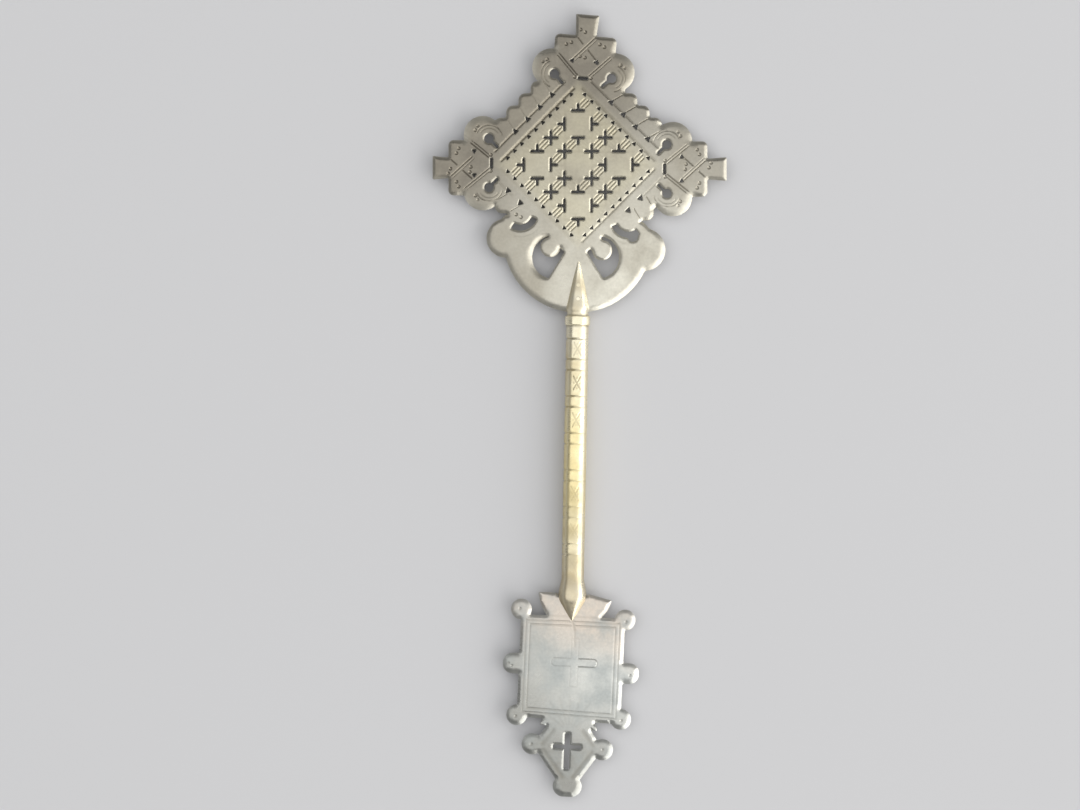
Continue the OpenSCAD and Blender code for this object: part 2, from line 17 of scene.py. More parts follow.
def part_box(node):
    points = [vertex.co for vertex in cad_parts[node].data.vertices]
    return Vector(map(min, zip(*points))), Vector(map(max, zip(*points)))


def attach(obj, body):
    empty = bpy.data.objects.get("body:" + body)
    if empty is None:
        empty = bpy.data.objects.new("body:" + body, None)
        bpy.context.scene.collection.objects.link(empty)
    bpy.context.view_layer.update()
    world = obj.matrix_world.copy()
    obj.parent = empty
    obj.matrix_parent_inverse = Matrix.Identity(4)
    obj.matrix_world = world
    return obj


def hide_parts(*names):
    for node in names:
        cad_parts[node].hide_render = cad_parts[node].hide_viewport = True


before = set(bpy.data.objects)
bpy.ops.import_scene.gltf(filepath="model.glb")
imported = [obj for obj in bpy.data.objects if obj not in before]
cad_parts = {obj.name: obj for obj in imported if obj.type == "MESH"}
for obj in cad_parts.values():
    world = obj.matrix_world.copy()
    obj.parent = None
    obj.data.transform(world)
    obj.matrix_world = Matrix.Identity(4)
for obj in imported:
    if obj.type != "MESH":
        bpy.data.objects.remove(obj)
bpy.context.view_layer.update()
MM = 0.001

# %% [markdown]
# The two plates are pierced sheets. A sheet's outline could be drawn again by hand, but the solid
# already has it: the rim of its front face. Each edge of the rim is cut into short steps, and two
# passes of averaging take the machine sharpness off the corners, as a file does. A small punched hole
# gets only one pass, so that it stays three-cornered.

# %% The front rim of a plate, read from its solid
FLAT = 0.01
RIM_STEP = 0.4
MERGE_DIGITS = 3


def solid_triangles(solid):
    """Corner points of a solid with doubles merged, and its triangles as rows of three."""
    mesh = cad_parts[solid].data
    points = np.empty(3 * len(mesh.vertices), np.float32)
    mesh.vertices.foreach_get("co", points)
    corners = np.empty(len(mesh.loops), np.int32)
    mesh.loops.foreach_get("vertex_index", corners)
    whole = np.round(points.reshape(-1, 3).astype(float) / MM, MERGE_DIGITS)
    points, merged = np.unique(whole, axis=0, return_inverse=True)
    triangles = merged.ravel()[corners].reshape(-1, 3)
    folded = (triangles == np.roll(triangles, 1, axis=1)).any(axis=1)
    return points, triangles[~folded]


def front_rim(solid):
    """Points along every loop round the front face, metal on the left, and the point after each one.

    An edge of the front face is on the rim if no other triangle runs along it the other way.
    """
    points, triangles = solid_triangles(solid)
    front = triangles[(points[triangles][:, :, 2] > points[:, 2].max() - FLAT).all(axis=1)]
    edges = np.concatenate([front[:, [0, 1]], front[:, [1, 2]], front[:, [2, 0]]])
    there = edges[:, 0] * len(points) + edges[:, 1]
    back = edges[:, 1] * len(points) + edges[:, 0]
    rim = edges[~np.isin(there, back)]
    start = points[rim[:, 0], :2]
    run = points[rim[:, 1], :2] - start
    count = np.maximum(np.round(np.hypot(*run.T) / RIM_STEP), 1).astype(int)
    first = np.cumsum(count) - count
    edge = np.repeat(np.arange(len(rim)), count)
    share = (np.arange(len(edge)) - first[edge]) / count[edge]
    leaves = np.zeros(len(points), int)
    leaves[rim[:, 0]] = first
    after = np.arange(len(edge)) + 1
    after[first + count - 1] = leaves[rim[:, 1]]
    return start[edge] + run[edge] * share[:, None], after


head_rim, head_after = front_rim("head_plate")
tablet_rim, tablet_after = front_rim("tablet_plate")
print("rim points:", len(head_rim), "on the head,", len(tablet_rim), "on the tablet")

# %% File the rims
SMALL_HOLE = 8.0


def point_before(after):
    """The inverse of the list of next points."""
    before = np.empty_like(after)
    before[after] = np.arange(len(after))
    return before


def rim_loops(rim, after):
    """For each rim point the number of its loop, and for each loop its area: openings are negative.

    A loop is known by its lowest point, which every point learns by looking twice as far each time.
    """
    lowest, ahead = np.arange(len(after)), after
    for _ in range(int(np.ceil(np.log2(len(after))))):
        lowest = np.minimum(lowest, lowest[ahead])
        ahead = ahead[ahead]
    loop = np.unique(lowest, return_inverse=True)[1]
    twice = rim[:, 0] * rim[after, 1] - rim[:, 1] * rim[after, 0]
    return loop, np.bincount(loop, twice) / 2


def filed(rim, after):
    """The rim with each point moved half way to the middle of its neighbours, twice on large loops."""
    before = point_before(after)
    loop, area = rim_loops(rim, after)
    once = (rim[before] + 2 * rim + rim[after]) / 4
    twice = (once[before] + 2 * once + once[after]) / 4
    return np.where((np.abs(area) > SMALL_HOLE)[loop][:, None], twice, once)


head_rim = filed(head_rim, head_after)
tablet_rim = filed(tablet_rim, tablet_after)
print("loops:", rim_loops(head_rim, head_after)[0].max() + 1, "on the head,",
      rim_loops(tablet_rim, tablet_after)[0].max() + 1, "on the tablet")

# %% [markdown]
# All relief is cut downwards from the sheet, as the maker does it. A stroke is a short straight cut
# with a half width and a depth. A chisel stroke has a V section, a filed edge starts steep and runs out
# flat, and a worn groove is a soft wave. So a whole drawing is one array of strokes, and the height at
# a point is the sheet's face minus the deepest stroke there. Looking only at strokes near each tile
# keeps this quick.

# %% Strokes, dots and the depth they cut
TILE = 8.0
CHISEL, FILE, WORN = 0.0, 1.0, 2.0
FILE_POWER = 1.5
START, END = slice(0, 2), slice(2, 4)
HALF, DEEP, KIND = 4, 5, 6
STROKE_COLUMNS, DOT_COLUMNS = 7, 4
NO_DOTS = np.zeros((0, DOT_COLUMNS))
TINY = 1e-9


def strokes_along(path, half, depth, kind=CHISEL):
    """Strokes from each point of a path to the next: x, y, x, y, half width, depth, kind."""
    path = np.asarray(path, float)
    size = np.ones((len(path) - 1, 1)) * [half, depth, kind]
    return np.hstack([path[:-1], path[1:], size])


def edge_strokes(rim, after, width, drop):
    """Filed strokes that follow the rim, steep at the rim and flat where they run out."""
    return np.column_stack([rim, rim[after], width, drop, np.full(len(rim), FILE)])


def stroke_depth(points, strokes, dots):
    """Deepest cut at each point, and the nearness to an edge, from one on the rim to nothing inside.

    With t as the distance from a stroke over its half width, a chisel cuts its depth times 1 - t, a file
    that value to a power, and a worn groove half a cosine wave. A dot is a parabola round its middle.
    """
    depth, edge = np.zeros(len(points)), np.zeros(len(points))
    tile = np.floor(points / TILE)
    low = np.minimum(strokes[:, START], strokes[:, END]) - strokes[:, HALF, None]
    high = np.maximum(strokes[:, START], strokes[:, END]) + strokes[:, HALF, None]
    for corner in np.unique(tile, axis=0):
        here = np.flatnonzero((tile == corner).all(axis=1))
        near = ((high > corner * TILE) & (low < (corner + 1) * TILE)).all(axis=1)
        found = strokes[near]
        if len(found):
            run = found[:, END] - found[:, START]
            apart = points[here][:, None] - found[None, :, START]
            share = (apart * run).sum(-1) / np.maximum((run**2).sum(-1), TINY)
            gap = apart - np.clip(share, 0, 1)[..., None] * run
            t = np.clip(np.hypot(gap[..., 0], gap[..., 1]) / found[:, HALF], 0, 1)
            filing = found[:, KIND] == FILE
            shape = np.where(filing, (1 - t) ** FILE_POWER, 1 - t)
            shape = np.where(found[:, KIND] == WORN, (1 + np.cos(np.pi * t)) / 2, shape)
            depth[here] = (shape * found[:, DEEP]).max(axis=1)
            edge[here] = np.where(filing, 1 - t, 0).max(axis=1)
    for x, y, radius, deep in dots:
        hollow = deep * np.clip(1 - ((points - [x, y]) ** 2).sum(axis=1) / radius**2, 0, 1)
        depth = np.maximum(depth, hollow)
    return depth, edge


print("half way to its end, a filed edge still has", round(0.5**FILE_POWER, 2), "of its depth")

# %% [markdown]
# A flat sheet needs mesh points only where its height changes: on the rim, on the rounding behind the
# rim, across every stroke from lip to lip, in every dot, and thinly everywhere else.

# %% Where a sheet has metal
MAP_CELL = 0.1
MAP_MARGIN = 1.0


def metal_map(rim, after):
    """A fine grid that says where the metal is, row by row: metal lies between odd and even crossings."""
    low, high = rim.min(axis=0) - MAP_MARGIN, rim.max(axis=0) + MAP_MARGIN
    columns, rows = np.ceil((high - low) / MAP_CELL).astype(int)
    metal = np.zeros((rows, columns), bool)
    ends = rim[after]
    middles = low[0] + (np.arange(columns) + 0.5) * MAP_CELL
    for row in range(rows):
        y = low[1] + (row + 0.5) * MAP_CELL
        cut = (rim[:, 1] > y) != (ends[:, 1] > y)
        a, b = rim[cut], ends[cut]
        x = np.sort(a[:, 0] + (y - a[:, 1]) / (b[:, 1] - a[:, 1]) * (b[:, 0] - a[:, 0]))
        metal[row] = np.searchsorted(x, middles) % 2 == 1
    return low, metal


def in_metal(points, map_of_metal):
    """True for each point that the map puts on metal."""
    low, metal = map_of_metal
    column, row = np.floor((points - low) / MAP_CELL).astype(int).T
    held = (row >= 0) & (column >= 0) & (row < metal.shape[0]) & (column < metal.shape[1])
    return held & metal[row.clip(0, metal.shape[0] - 1), column.clip(0, metal.shape[1] - 1)]


def rim_gap(points, rim, after, reach):
    """Distance from each point to the rim, up to a reach."""
    probe = edge_strokes(rim, after, np.full(len(rim), reach), np.ones(len(rim)))
    return reach * (1 - stroke_depth(points, probe, NO_DOTS)[1])


for plate, rim, after in (("head", head_rim, head_after), ("tablet", tablet_rim, tablet_after)):
    area = metal_map(rim, after)[1].sum() * MAP_CELL**2
    print("the", plate, "has", round(area), "square millimetres of metal")

# %% Points on the rounding, the strokes and the dots
ROUNDING_STEPS = np.array([0.22, 0.55, 1.0])
STROKE_STEP = 0.36
STROKE_SHARES = np.array([0.0, 0.45, -0.45, 1.0, -1.0])
DOT_RINGS = ((0.4, 6), (0.75, 12), (1.0, 14))


def inward_of(rim, after):
    """Unit direction from each rim point into the metal: the rim's own direction turned left."""
    along = rim[after] - rim[point_before(after)]
    return np.stack([-along[:, 1], along[:, 0]], axis=1) / np.hypot(*along.T)[:, None]


def points_on_rounding(rim, after, width):
    """Points at fixed shares of the rounding's width behind each rim point, and how far behind each is."""
    behind = ROUNDING_STEPS[:, None] * width
    rings = rim[None] + inward_of(rim, after)[None] * behind[..., None]
    return rings.reshape(-1, 2), behind.ravel()


def points_on_strokes(strokes):
    """Points along the bottom, both flanks and both lips of each stroke."""
    run = strokes[:, END] - strokes[:, START]
    length = np.maximum(np.hypot(*run.T), TINY)
    count = np.ceil(length / STROKE_STEP).astype(int) + 1
    stroke = np.repeat(np.arange(len(strokes)), count)
    place = np.arange(len(stroke)) - (np.cumsum(count) - count)[stroke]
    middle = strokes[stroke, START] + run[stroke] * (place / (count[stroke] - 1))[:, None]
    across = np.stack([-run[:, 1], run[:, 0]], axis=1) / length[:, None] * strokes[:, HALF, None]
    return np.concatenate([middle + share * across[stroke] for share in STROKE_SHARES])


def even_turns(count):
    """Angles that share a full turn evenly."""
    return np.linspace(0, 2 * np.pi, count, endpoint=False)


def points_on_dots(dots):
    """The middle of each dot and three rings round it."""
    points = [dots[:, :2]]
    for share, count in DOT_RINGS:
        turn = even_turns(count)
        ring = np.stack([np.cos(turn), np.sin(turn)], axis=1) * share
        points.append((dots[:, None, :2] + ring[None] * dots[:, None, 2:3]).reshape(-1, 2))
    return np.concatenate(points)


print("a dot gets", len(points_on_dots(np.zeros((1, DOT_COLUMNS)))), "points")

# %% [markdown]
# Blender's constrained triangulation joins all these points and keeps the rim as edges. It also fills
# the openings, so each triangle has to be sorted: metal lies on the left of every rim edge. A thin
# triangle whose corners are all on the rim may touch no rim edge, and then its neighbours decide.

# %% Sort metal from openings
ASK_PASSES = 30


def triangles_beside(triangles, count):
    """The triangle across each edge of each triangle, or -1: it runs along that edge the other way."""
    following = np.roll(triangles, -1, axis=1)
    edge = (triangles * count + following).ravel()
    other_way = (following * count + triangles).ravel()
    order = np.argsort(edge)
    found = order[np.searchsorted(edge, other_way, sorter=order).clip(0, len(edge) - 1)]
    return np.where(edge[found] == other_way, found // 3, -1).reshape(-1, 3)


def on_metal_side(triangles, after, count):
    """True for each triangle of metal: it lies left of a rim edge or has a point inside.

    A triangle that touches no rim edge and has no point inside takes the side of most of its neighbours.
    """
    ahead = np.full(count, -1)
    ahead[: len(after)] = after
    following = np.roll(triangles, -1, axis=1)
    left = (ahead[triangles] == following).any(axis=1)
    right = (ahead[following] == triangles).any(axis=1)
    free = (triangles >= len(after)).any(axis=1)
    side = np.where(left | (free & ~right), 1, np.where(right, -1, 0))
    beside = triangles_beside(triangles, count)
    for _ in range(ASK_PASSES):
        answers = np.where(beside >= 0, side[beside], -1)
        side = np.where(side == 0, np.sign(answers.sum(axis=1)), side)
    return side > 0


two_triangles = np.array([(0, 1, 2), (2, 1, 3)])
print("two triangles find each other:", triangles_beside(two_triangles, two_triangles.max() + 1).tolist())

# %% The plan of a sheet
CLOSEST = 0.17
RIM_FAR, RING_KEPT, PLAIN_KEPT = 2.0, 0.85, 0.45
INSIDE_ONLY, JOIN_NEARER = 1, 1e-6


def sheet_plan(rim, after, width, strokes, dots, spacing):
    """Every plan point of one face, rim points first, and its triangles.

    A point is left out where it comes too near to a rim or to another point.
    """
    rings, behind = points_on_rounding(rim, after, width)
    low, high = rim.min(axis=0), rim.max(axis=0)
    x, y = np.meshgrid(np.arange(low[0], high[0], spacing), np.arange(low[1], high[1], spacing))
    x[1::2] += spacing / 2
    plain = np.stack([x.ravel(), y.ravel()], axis=1)
    inner = np.concatenate([rings, points_on_dots(dots), points_on_strokes(strokes), plain])
    need = np.full(len(inner), CLOSEST)
    need[: len(rings)] = RING_KEPT * np.minimum(behind, RIM_FAR)
    need[len(inner) - len(plain) :] = PLAIN_KEPT * spacing
    kept = in_metal(inner, metal_map(rim, after))
    inner, need = inner[kept], need[kept]
    inner = inner[rim_gap(inner, rim, after, RIM_FAR) >= need]
    first = np.unique(np.floor(inner / CLOSEST), axis=0, return_index=True)[1]
    plan = np.concatenate([rim, inner[np.sort(first)]])
    edges = np.stack([np.arange(len(rim)), after], axis=1).tolist()
    made = delaunay_2d_cdt([Vector(p) for p in plan], edges, [], INSIDE_ONLY, JOIN_NEARER, False)
    plan, triangles = np.array(made[0])[:, :2], np.array(made[2])
    return plan, triangles[on_metal_side(triangles, after, len(plan))]


print("points of a face stay about", CLOSEST, "mm apart or more")

# %% [markdown]
# A finished plate is its front face, its back face and the walls between them. The depth of the chisel
# work and the nearness to an edge are kept on the points as two attributes, so that the finish can be
# dark in the cuts and bright on the worn edges. A third one says where the metal is rubbed yellow.
# Hammered sheet is never quite flat: a few slow waves let it sag by a fraction of a millimetre.

# %% Make a mesh piece, and a plate from its plan
SHARP_ANGLE = np.radians(42)
GRIME_DEPTH = 0.3
BACK_DROP = 0.9
SAG = 0.2
# Each wave: its turn for each millimetre along x and along y, and its turn at the origin.
SAG_WAVES = np.array([(0.19, 0.06, 0.4), (-0.08, 0.16, 1.9), (0.13, -0.12, 3.1), (0.05, 0.23, 5.0)])


def sagging(plan):
    """Sag of hammered sheet at each point, from nothing to SAG: the mean of a few slow waves."""
    waves = np.sin(plan @ SAG_WAVES[:, :2].T + SAG_WAVES[:, 2])
    return SAG * (1 + waves.mean(axis=1)) / 2


def make_piece(name, points, faces, grime_and_shade, wear, warmth_and_highlight, sharp=SHARP_ANGLE):
    """A mesh object at the origin from points in millimetres, smooth except over sharp edges."""
    mesh = bpy.data.meshes.new(name)
    mesh.from_pydata((points * MM).tolist(), [], faces)
    # The first attribute holds dirt, and on the bar and collar also painted shade; the third holds the
    # yellow of rubbing, made paler on the grip's front-right facet as a painted highlight.
    for label, values in (("grime_and_shade", grime_and_shade), ("wear", wear), ("warmth_and_highlight", warmth_and_highlight)):
        mesh.attributes.new(label, "FLOAT", "POINT").data.foreach_set("value", values.astype(np.float32))
    mesh.shade_smooth()
    mesh.set_sharp_from_angle(angle=sharp)
    piece = bpy.data.objects.new(name, mesh)
    bpy.context.scene.collection.objects.link(piece)
    return piece


def make_plate(name, node, rim, after, width, drop, front, back, dots, spacing, warm_at):
    """Front and back faces with their strokes, joined by walls along the rim."""
    bottom, top = (corner[2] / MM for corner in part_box(node))
    sides, start = [], 0
    for strokes, marks, gap, face_z, sign, deep in (
        (front, dots, spacing, top, -1, drop),
        (back, NO_DOTS, 2 * spacing, bottom, 1, np.minimum(drop, BACK_DROP)),
    ):
        edges = edge_strokes(rim, after, width, deep)
        plan, triangles = sheet_plan(rim, after, width, strokes, marks, gap)
        cut, _ = stroke_depth(plan, strokes, marks)
        depth, edge = stroke_depth(plan, np.concatenate([edges, strokes]), marks)
        points = np.column_stack([plan, face_z + sign * (depth + sagging(plan))])
        sides.append((points, (triangles if sign < 0 else triangles[:, ::-1]) + start, cut, edge))
        start += len(points)
    points, triangles, cut, wear = (np.concatenate(column) for column in zip(*sides))
    here = np.arange(len(rim))
    below = len(sides[0][0])
    walls = np.stack([here, here + below, after + below, after], axis=1)
    # On the plates this holds only dirt in the cuts.
    grime_and_shade = np.clip(cut / GRIME_DEPTH, 0, 1)
    print(name, "has", len(points), "points and", len(triangles) + 2 * len(walls), "triangles")
    return make_piece(name, points, triangles.tolist() + walls.tolist(), grime_and_shade, wear, warm_at(points[:, :2]))


print("the head's sheet sags by up to", round(float(sagging(head_rim).max()), 2), "mm")

# %% [markdown]
# The head's drawing follows the lattice. Cuts sit on every second crossing of a square grid, and each
# small cell between two cuts carries three strokes along its own diagonal, so neighbouring cells lean
# opposite ways, as woven straps do. The five plain squares carry no weave.

# %% The lattice
HEAD_MIDDLE, HEAD_TURN = np.array([-0.75, 104.449]), np.radians(1.1)
PITCH = 5.9
CELLS, JOINTS = np.arange(-4.5, 5), range(-4, 5)
CELL_REACH, JOINT_REACH = 5, 4.6
PLAIN_SQUARES = ((0, 0), (3, 0), (-3, 0), (0, 3), (0, -3))
HATCH_GAP, HATCH_REACH = 1.4, (1.6, 2.2, 1.6)
HATCH_HALF, HATCH_DEEP, HATCH_FAINT = 0.66, 0.44, 0.14
PILLOW_HALF, PILLOW_DROP = 1.2, 0.16
ROOT2 = np.sqrt(2)


def in_plain_square(x, y):
    """True where a place, counted in cells, lies on a plain square."""
    return np.any([(np.abs(x - a) < 1) & (np.abs(y - b) < 1) for a, b in PLAIN_SQUARES], axis=0)


def hatched_cells():
    """Three strokes along the diagonal of each lattice cell, deep where it rises to the right."""
    x, y = (grid.ravel() for grid in np.meshgrid(CELLS, CELLS))
    keep = (np.abs(x) + np.abs(y) <= CELL_REACH) & ~in_plain_square(x, y)
    x, y = x[keep], y[keep]
    lean = np.where((np.floor(x) + np.floor(y)) % 2 == 0, 1, -1)
    depth = np.where(lean > 0, HATCH_DEEP, HATCH_FAINT)
    size = np.column_stack([np.full(len(x), HATCH_HALF), depth, np.full(len(x), CHISEL)])
    strokes = []
    for place, reach in zip((-1, 0, 1), HATCH_REACH):
        aside = place * HATCH_GAP / ROOT2
        middle = np.stack([x * PITCH - aside * lean, y * PITCH + aside], axis=1)
        run = np.stack([np.ones(len(x)), lean], axis=1) * reach / ROOT2
        strokes.append(np.hstack([middle - run, middle + run, size]))
    return np.concatenate(strokes)


def cell_lines():
    """Rounded joints along the grid between the cells, left out inside the plain squares."""
    lines = []
    for k, j in product(JOINTS, CELLS):
        if abs(k) + abs(j) <= JOINT_REACH and not in_plain_square(k, j):
            ends = np.array([[k, j - 0.5], [k, j + 0.5]]) * PITCH
            for way in (ends, ends[:, ::-1]):
                lines.append(strokes_along(way, PILLOW_HALF, PILLOW_DROP, WORN))
    return np.concatenate(lines)


lattice_strokes = np.concatenate([hatched_cells(), cell_lines()])
print("lattice:", len(lattice_strokes), "strokes")

# %% [markdown]
# Two lines frame the lattice: a broad one past the inner row of holes and a fine one through the outer
# row. Short slanting lines run from there to the notches of the border. Each side is worn differently,
# so depths are given by side. A line is drawn as on a side that faces right, and is then turned.

# %% The frame round the lattice
RIGHT_UP, LEFT_UP, LEFT_LOW, RIGHT_LOW = range(4)
OUTER_ROW, BORDER = 29.38, 36.48
INNER_LINE, INNER_HALF, INNER_SPAN = 24.8, 1.0, 22.3
INNER_DEPTHS = {RIGHT_UP: 0.4, LEFT_UP: 0.65, LEFT_LOW: 0.25, RIGHT_LOW: 0.5}
OUTER_LINE, OUTER_HALF = OUTER_ROW + 0.2, 0.75
OUTER_LINES = {
    RIGHT_UP: (-21.5, 21.5, 0.36), LEFT_UP: (-21.5, 21.5, 0.5),
    LEFT_LOW: (11.0, 21.5, 0.28), RIGHT_LOW: (-21.5, -11.0, 0.28),
}
NOTCHES = {
    RIGHT_UP: ((-7.5, 0, 7.5, 15), 0.3), LEFT_UP: ((-7.5, 0, 7.5, 15), 0.14),
    LEFT_LOW: ((6.9, 14.3), 0.22), RIGHT_LOW: ((-2.3, -9.8), 0.26),
}
NOTCH_FROM, NOTCH_TO = BORDER - 0.4, OUTER_ROW + 1.2
NOTCH_SLANT, NOTCH_HALF = 1.45, 0.36


def turned(points, angle):
    """Points turned against the clock about the origin."""
    c, s = np.cos(angle), np.sin(angle)
    return np.asarray(points, float) @ np.array([[c, s], [-s, c]])


def side_turn(side):
    """Angle of a side of the lattice's square, which stands on its corner."""
    return np.radians(45 + 90 * side)


def side_strokes(side, points, half, depth):
    """A line on one side of the square, from points given as distance outwards and place clockwise."""
    path = np.asarray(points, float) * [1, -1]
    return strokes_along(turned(path, side_turn(side)), half, depth)


def frame_lines():
    """A broad line past the inner holes and a fine one through the outer holes, worn unevenly by side."""
    lines = []
    for side, depth in INNER_DEPTHS.items():
        ends = [(INNER_LINE, -INNER_SPAN), (INNER_LINE, INNER_SPAN)]
        lines.append(side_strokes(side, ends, INNER_HALF, depth))
    for side, (start, end, depth) in OUTER_LINES.items():
        lines.append(side_strokes(side, [(OUTER_LINE, start), (OUTER_LINE, end)], OUTER_HALF, depth))
    return np.concatenate(lines)


def border_lines():
    """A line from each notch of the border to the outer hole beside it."""
    lines = []
    for side, (notches, depth) in NOTCHES.items():
        for notch in notches:
            ends = [(NOTCH_FROM, notch), (NOTCH_TO, notch - NOTCH_SLANT)]
            lines.append(side_strokes(side, ends, NOTCH_HALF, depth))
    return np.concatenate(lines)


frame_strokes = frame_lines()
border_strokes = border_lines()
print("frame:", len(frame_strokes), "lines, border:", len(border_strokes), "lines")

# %% [markdown]
# Each corner ends in a finial with two curls. On the real cross they are straps of a knot: a double line
# runs from each curl to the slit and two lines go round its keyhole, straps cross on the hub of the
# finial, and pairs of dots are punched on every tab. One drawing, made as if the corner pointed to the
# right, serves all three corners, turned and shifted.

# %% The straps of a corner
CORNER = 51.59
CURL_OUT, CURL_R = CORNER - 10.3, 8.3
KEY_IN, KEY_SIDE = 2.7, 1.6
KEY_ARCS, KEY_HALF = ((4.5, 35, 150, 0.2), (5.9, 25, 165, 0.26)), 0.5
STRAP_FAR, STRAP_INSET = 50.2, 0.5
STRAP_NEAR, STRAP_SIDE = 38.8, 2.4
STRAP_HALF, STRAP_DEEP = 0.42, 0.3
TWIN_IN, TWIN_SIDE, TWIN_HALF, TWIN_DEEP = -0.7, 0.85, 0.36, 0.24
HUB_FAR, HUB_FAR_SIDE = 56.2, 4.5
HUB_NEAR, HUB_NEAR_SIDE = 45.9, 4.9
OVER_HALF, OVER_DEEP = 0.5, 0.34
OVER_TWIN_IN, OVER_TWIN_SIDE, OVER_TWIN_HALF, OVER_TWIN_DEEP = -0.8, 0.85, 0.4, 0.22
UNDER_FAR, UNDER_FAR_SIDE = 52.4, 1.1
UNDER_NEAR, UNDER_NEAR_SIDE = 50.0, 1.2
UNDER_HALF, UNDER_DEEP = 0.45, 0.3
BOTH_SIDES = (-1, 1)
ARC_POINTS = 20


def arc(middle, radius, start, end):
    """Points on an arc between two angles in degrees."""
    turn = np.radians(np.linspace(start, end, ARC_POINTS))
    return np.stack([np.cos(turn), np.sin(turn)], axis=1) * radius + middle


def curl_strokes(spread):
    """The double strap line from each curl to the slit, and two lines round its keyhole."""
    lines = []
    for side in BOTH_SIDES:
        strap = np.array([[STRAP_FAR, side * (spread - STRAP_INSET)], [STRAP_NEAR, side * STRAP_SIDE]])
        lines.append(strokes_along(strap, STRAP_HALF, STRAP_DEEP))
        lines.append(strokes_along(strap + [TWIN_IN, side * TWIN_SIDE], TWIN_HALF, TWIN_DEEP))
        key = [CURL_OUT - KEY_IN, side * (spread - KEY_SIDE)]
        for radius, start, end, depth in KEY_ARCS:
            lines.append(strokes_along(arc(key, radius, side * start, side * end), KEY_HALF, depth))
    return np.concatenate(lines)


def finial_strokes(side):
    """Two straps that cross on the hub: one runs through with a double line, the other passes under it."""
    over = np.array([[HUB_FAR, side * HUB_FAR_SIDE], [HUB_NEAR, -side * HUB_NEAR_SIDE]])
    twin = over + [OVER_TWIN_IN, side * OVER_TWIN_SIDE]
    far = [[HUB_FAR, -side * HUB_FAR_SIDE], [UNDER_FAR, -side * UNDER_FAR_SIDE]]
    near = [[UNDER_NEAR, side * UNDER_NEAR_SIDE], [HUB_NEAR, side * HUB_NEAR_SIDE]]
    return np.concatenate([
        strokes_along(over, OVER_HALF, OVER_DEEP),
        strokes_along(twin, OVER_TWIN_HALF, OVER_TWIN_DEEP),
        strokes_along(far, UNDER_HALF, UNDER_DEEP),
        strokes_along(near, UNDER_HALF, UNDER_DEEP),
    ])


print("straps:", len(curl_strokes(0)), "strokes on two curls and", len(finial_strokes(1)), "on a finial")

# %% The punched dots of a corner
DOT_R, DOT_DEEP = 0.85, 0.5
SLIT_DOT, CURL_DOTS = (37.8, 3.5), ((3.2, 2.0), (2.2, 3.9))
END_DOTS, HUB_DOTS = ((-6.8, 2.6), (-7.8, 0.5)), ((46.9, 2.0), (46.5, -0.2))
TAB_DOTS = ((52.7, 6.2), (51.7, 8.3))


def punched(places):
    """Dots of the common size: x, y, radius, depth."""
    return np.array([(x, y, DOT_R, DOT_DEEP) for x, y in places])


def curl_dots(spread):
    """Pairs of punched dots on the curls, and one beside each end of the slit."""
    places = [(SLIT_DOT[0], side * SLIT_DOT[1]) for side in BOTH_SIDES]
    places += [(CURL_OUT + a, side * (spread + b)) for side, (a, b) in product(BOTH_SIDES, CURL_DOTS)]
    return punched(places)


def finial_dots(reach):
    """Pairs of punched dots on the end tab, the hub and the side tabs."""
    places = [(CORNER + reach + a, b) for a, b in END_DOTS] + list(HUB_DOTS)
    places += [(a, side * b) for side, (a, b) in product(BOTH_SIDES, TAB_DOTS)]
    return punched(places)


print("dots:", len(curl_dots(0)), "on two curls and", len(finial_dots(0)), "on a finial")

# %% Place the corners and the wing
# Each corner: its turn, the shifts of curls and finial, the curls' spread, the finial's reach, upper strap.
CORNERS = {
    "right": (0.0, -1.8, -1.8, 12.2, 13.0, 1),
    "top": (90 - 4.6, 0.9, 0.9, 14.0, 13.7, -1),
    "left": (180.0, -0.8, 1.2, 12.2, 11.5, 1),
}
# Each tongue of the wing: its middle outwards and clockwise, and the angles of the line round it.
TONGUES = {LEFT_LOW: (32.38, 3.1, 30, 92), RIGHT_LOW: (32.38, 1.3, -92, -52)}
TONGUE_R, TONGUE_HALF, TONGUE_DEEP = 10.4, 0.5, 0.14
TONGUE_DOTS = ((-26.8, -21.6), (-24.7, -22.8))


def placed(strokes, angle, shift):
    """Strokes or dots turned and then moved: a stroke leads with two points and a dot with one."""
    strokes = np.array(strokes, float)
    for columns in (START, END) if strokes.shape[1] == STROKE_COLUMNS else (START,):
        strokes[:, columns] = turned(strokes[:, columns], angle) + shift
    return strokes


corner_strokes, corner_dots = [], []
for degrees, curl_shift, finial_shift, spread, reach, over in CORNERS.values():
    angle = np.radians(degrees)
    curl_place, finial_place = turned([[0, curl_shift], [0, finial_shift]], angle)
    corner_strokes.append(placed(curl_strokes(spread), angle, curl_place))
    corner_strokes.append(placed(finial_strokes(over), angle, finial_place))
    corner_dots.append(placed(curl_dots(spread), angle, curl_place))
    corner_dots.append(placed(finial_dots(reach), angle, finial_place))
wing_strokes = []
for side, (out, along, start, end) in TONGUES.items():
    line = strokes_along(arc([out, -along], TONGUE_R, start, end), TONGUE_HALF, TONGUE_DEEP)
    wing_strokes.append(placed(line, side_turn(side), np.zeros(2)))

front_drawing = [lattice_strokes, frame_strokes, border_strokes, *corner_strokes, *wing_strokes]
head_strokes = placed(np.concatenate(front_drawing), HEAD_TURN, HEAD_MIDDLE)
head_back_strokes = placed(np.concatenate([frame_strokes, *corner_strokes]), HEAD_TURN, HEAD_MIDDLE)
head_dots = placed(np.concatenate([*corner_dots, punched(TONGUE_DOTS)]), HEAD_TURN, HEAD_MIDDLE)
print("head:", len(head_strokes), "strokes and", len(head_dots), "dots")

# %% [markdown]
# How wide an edge is filed depends on the tool that could reach it: a large opening takes a large
# file, a small one only a needle file. So the width grows with the root of the opening's area. The two
# large holes of the wing are filed widest on the flank away from the shaft, and the curls and the
# wing's rim are filed to a dome.

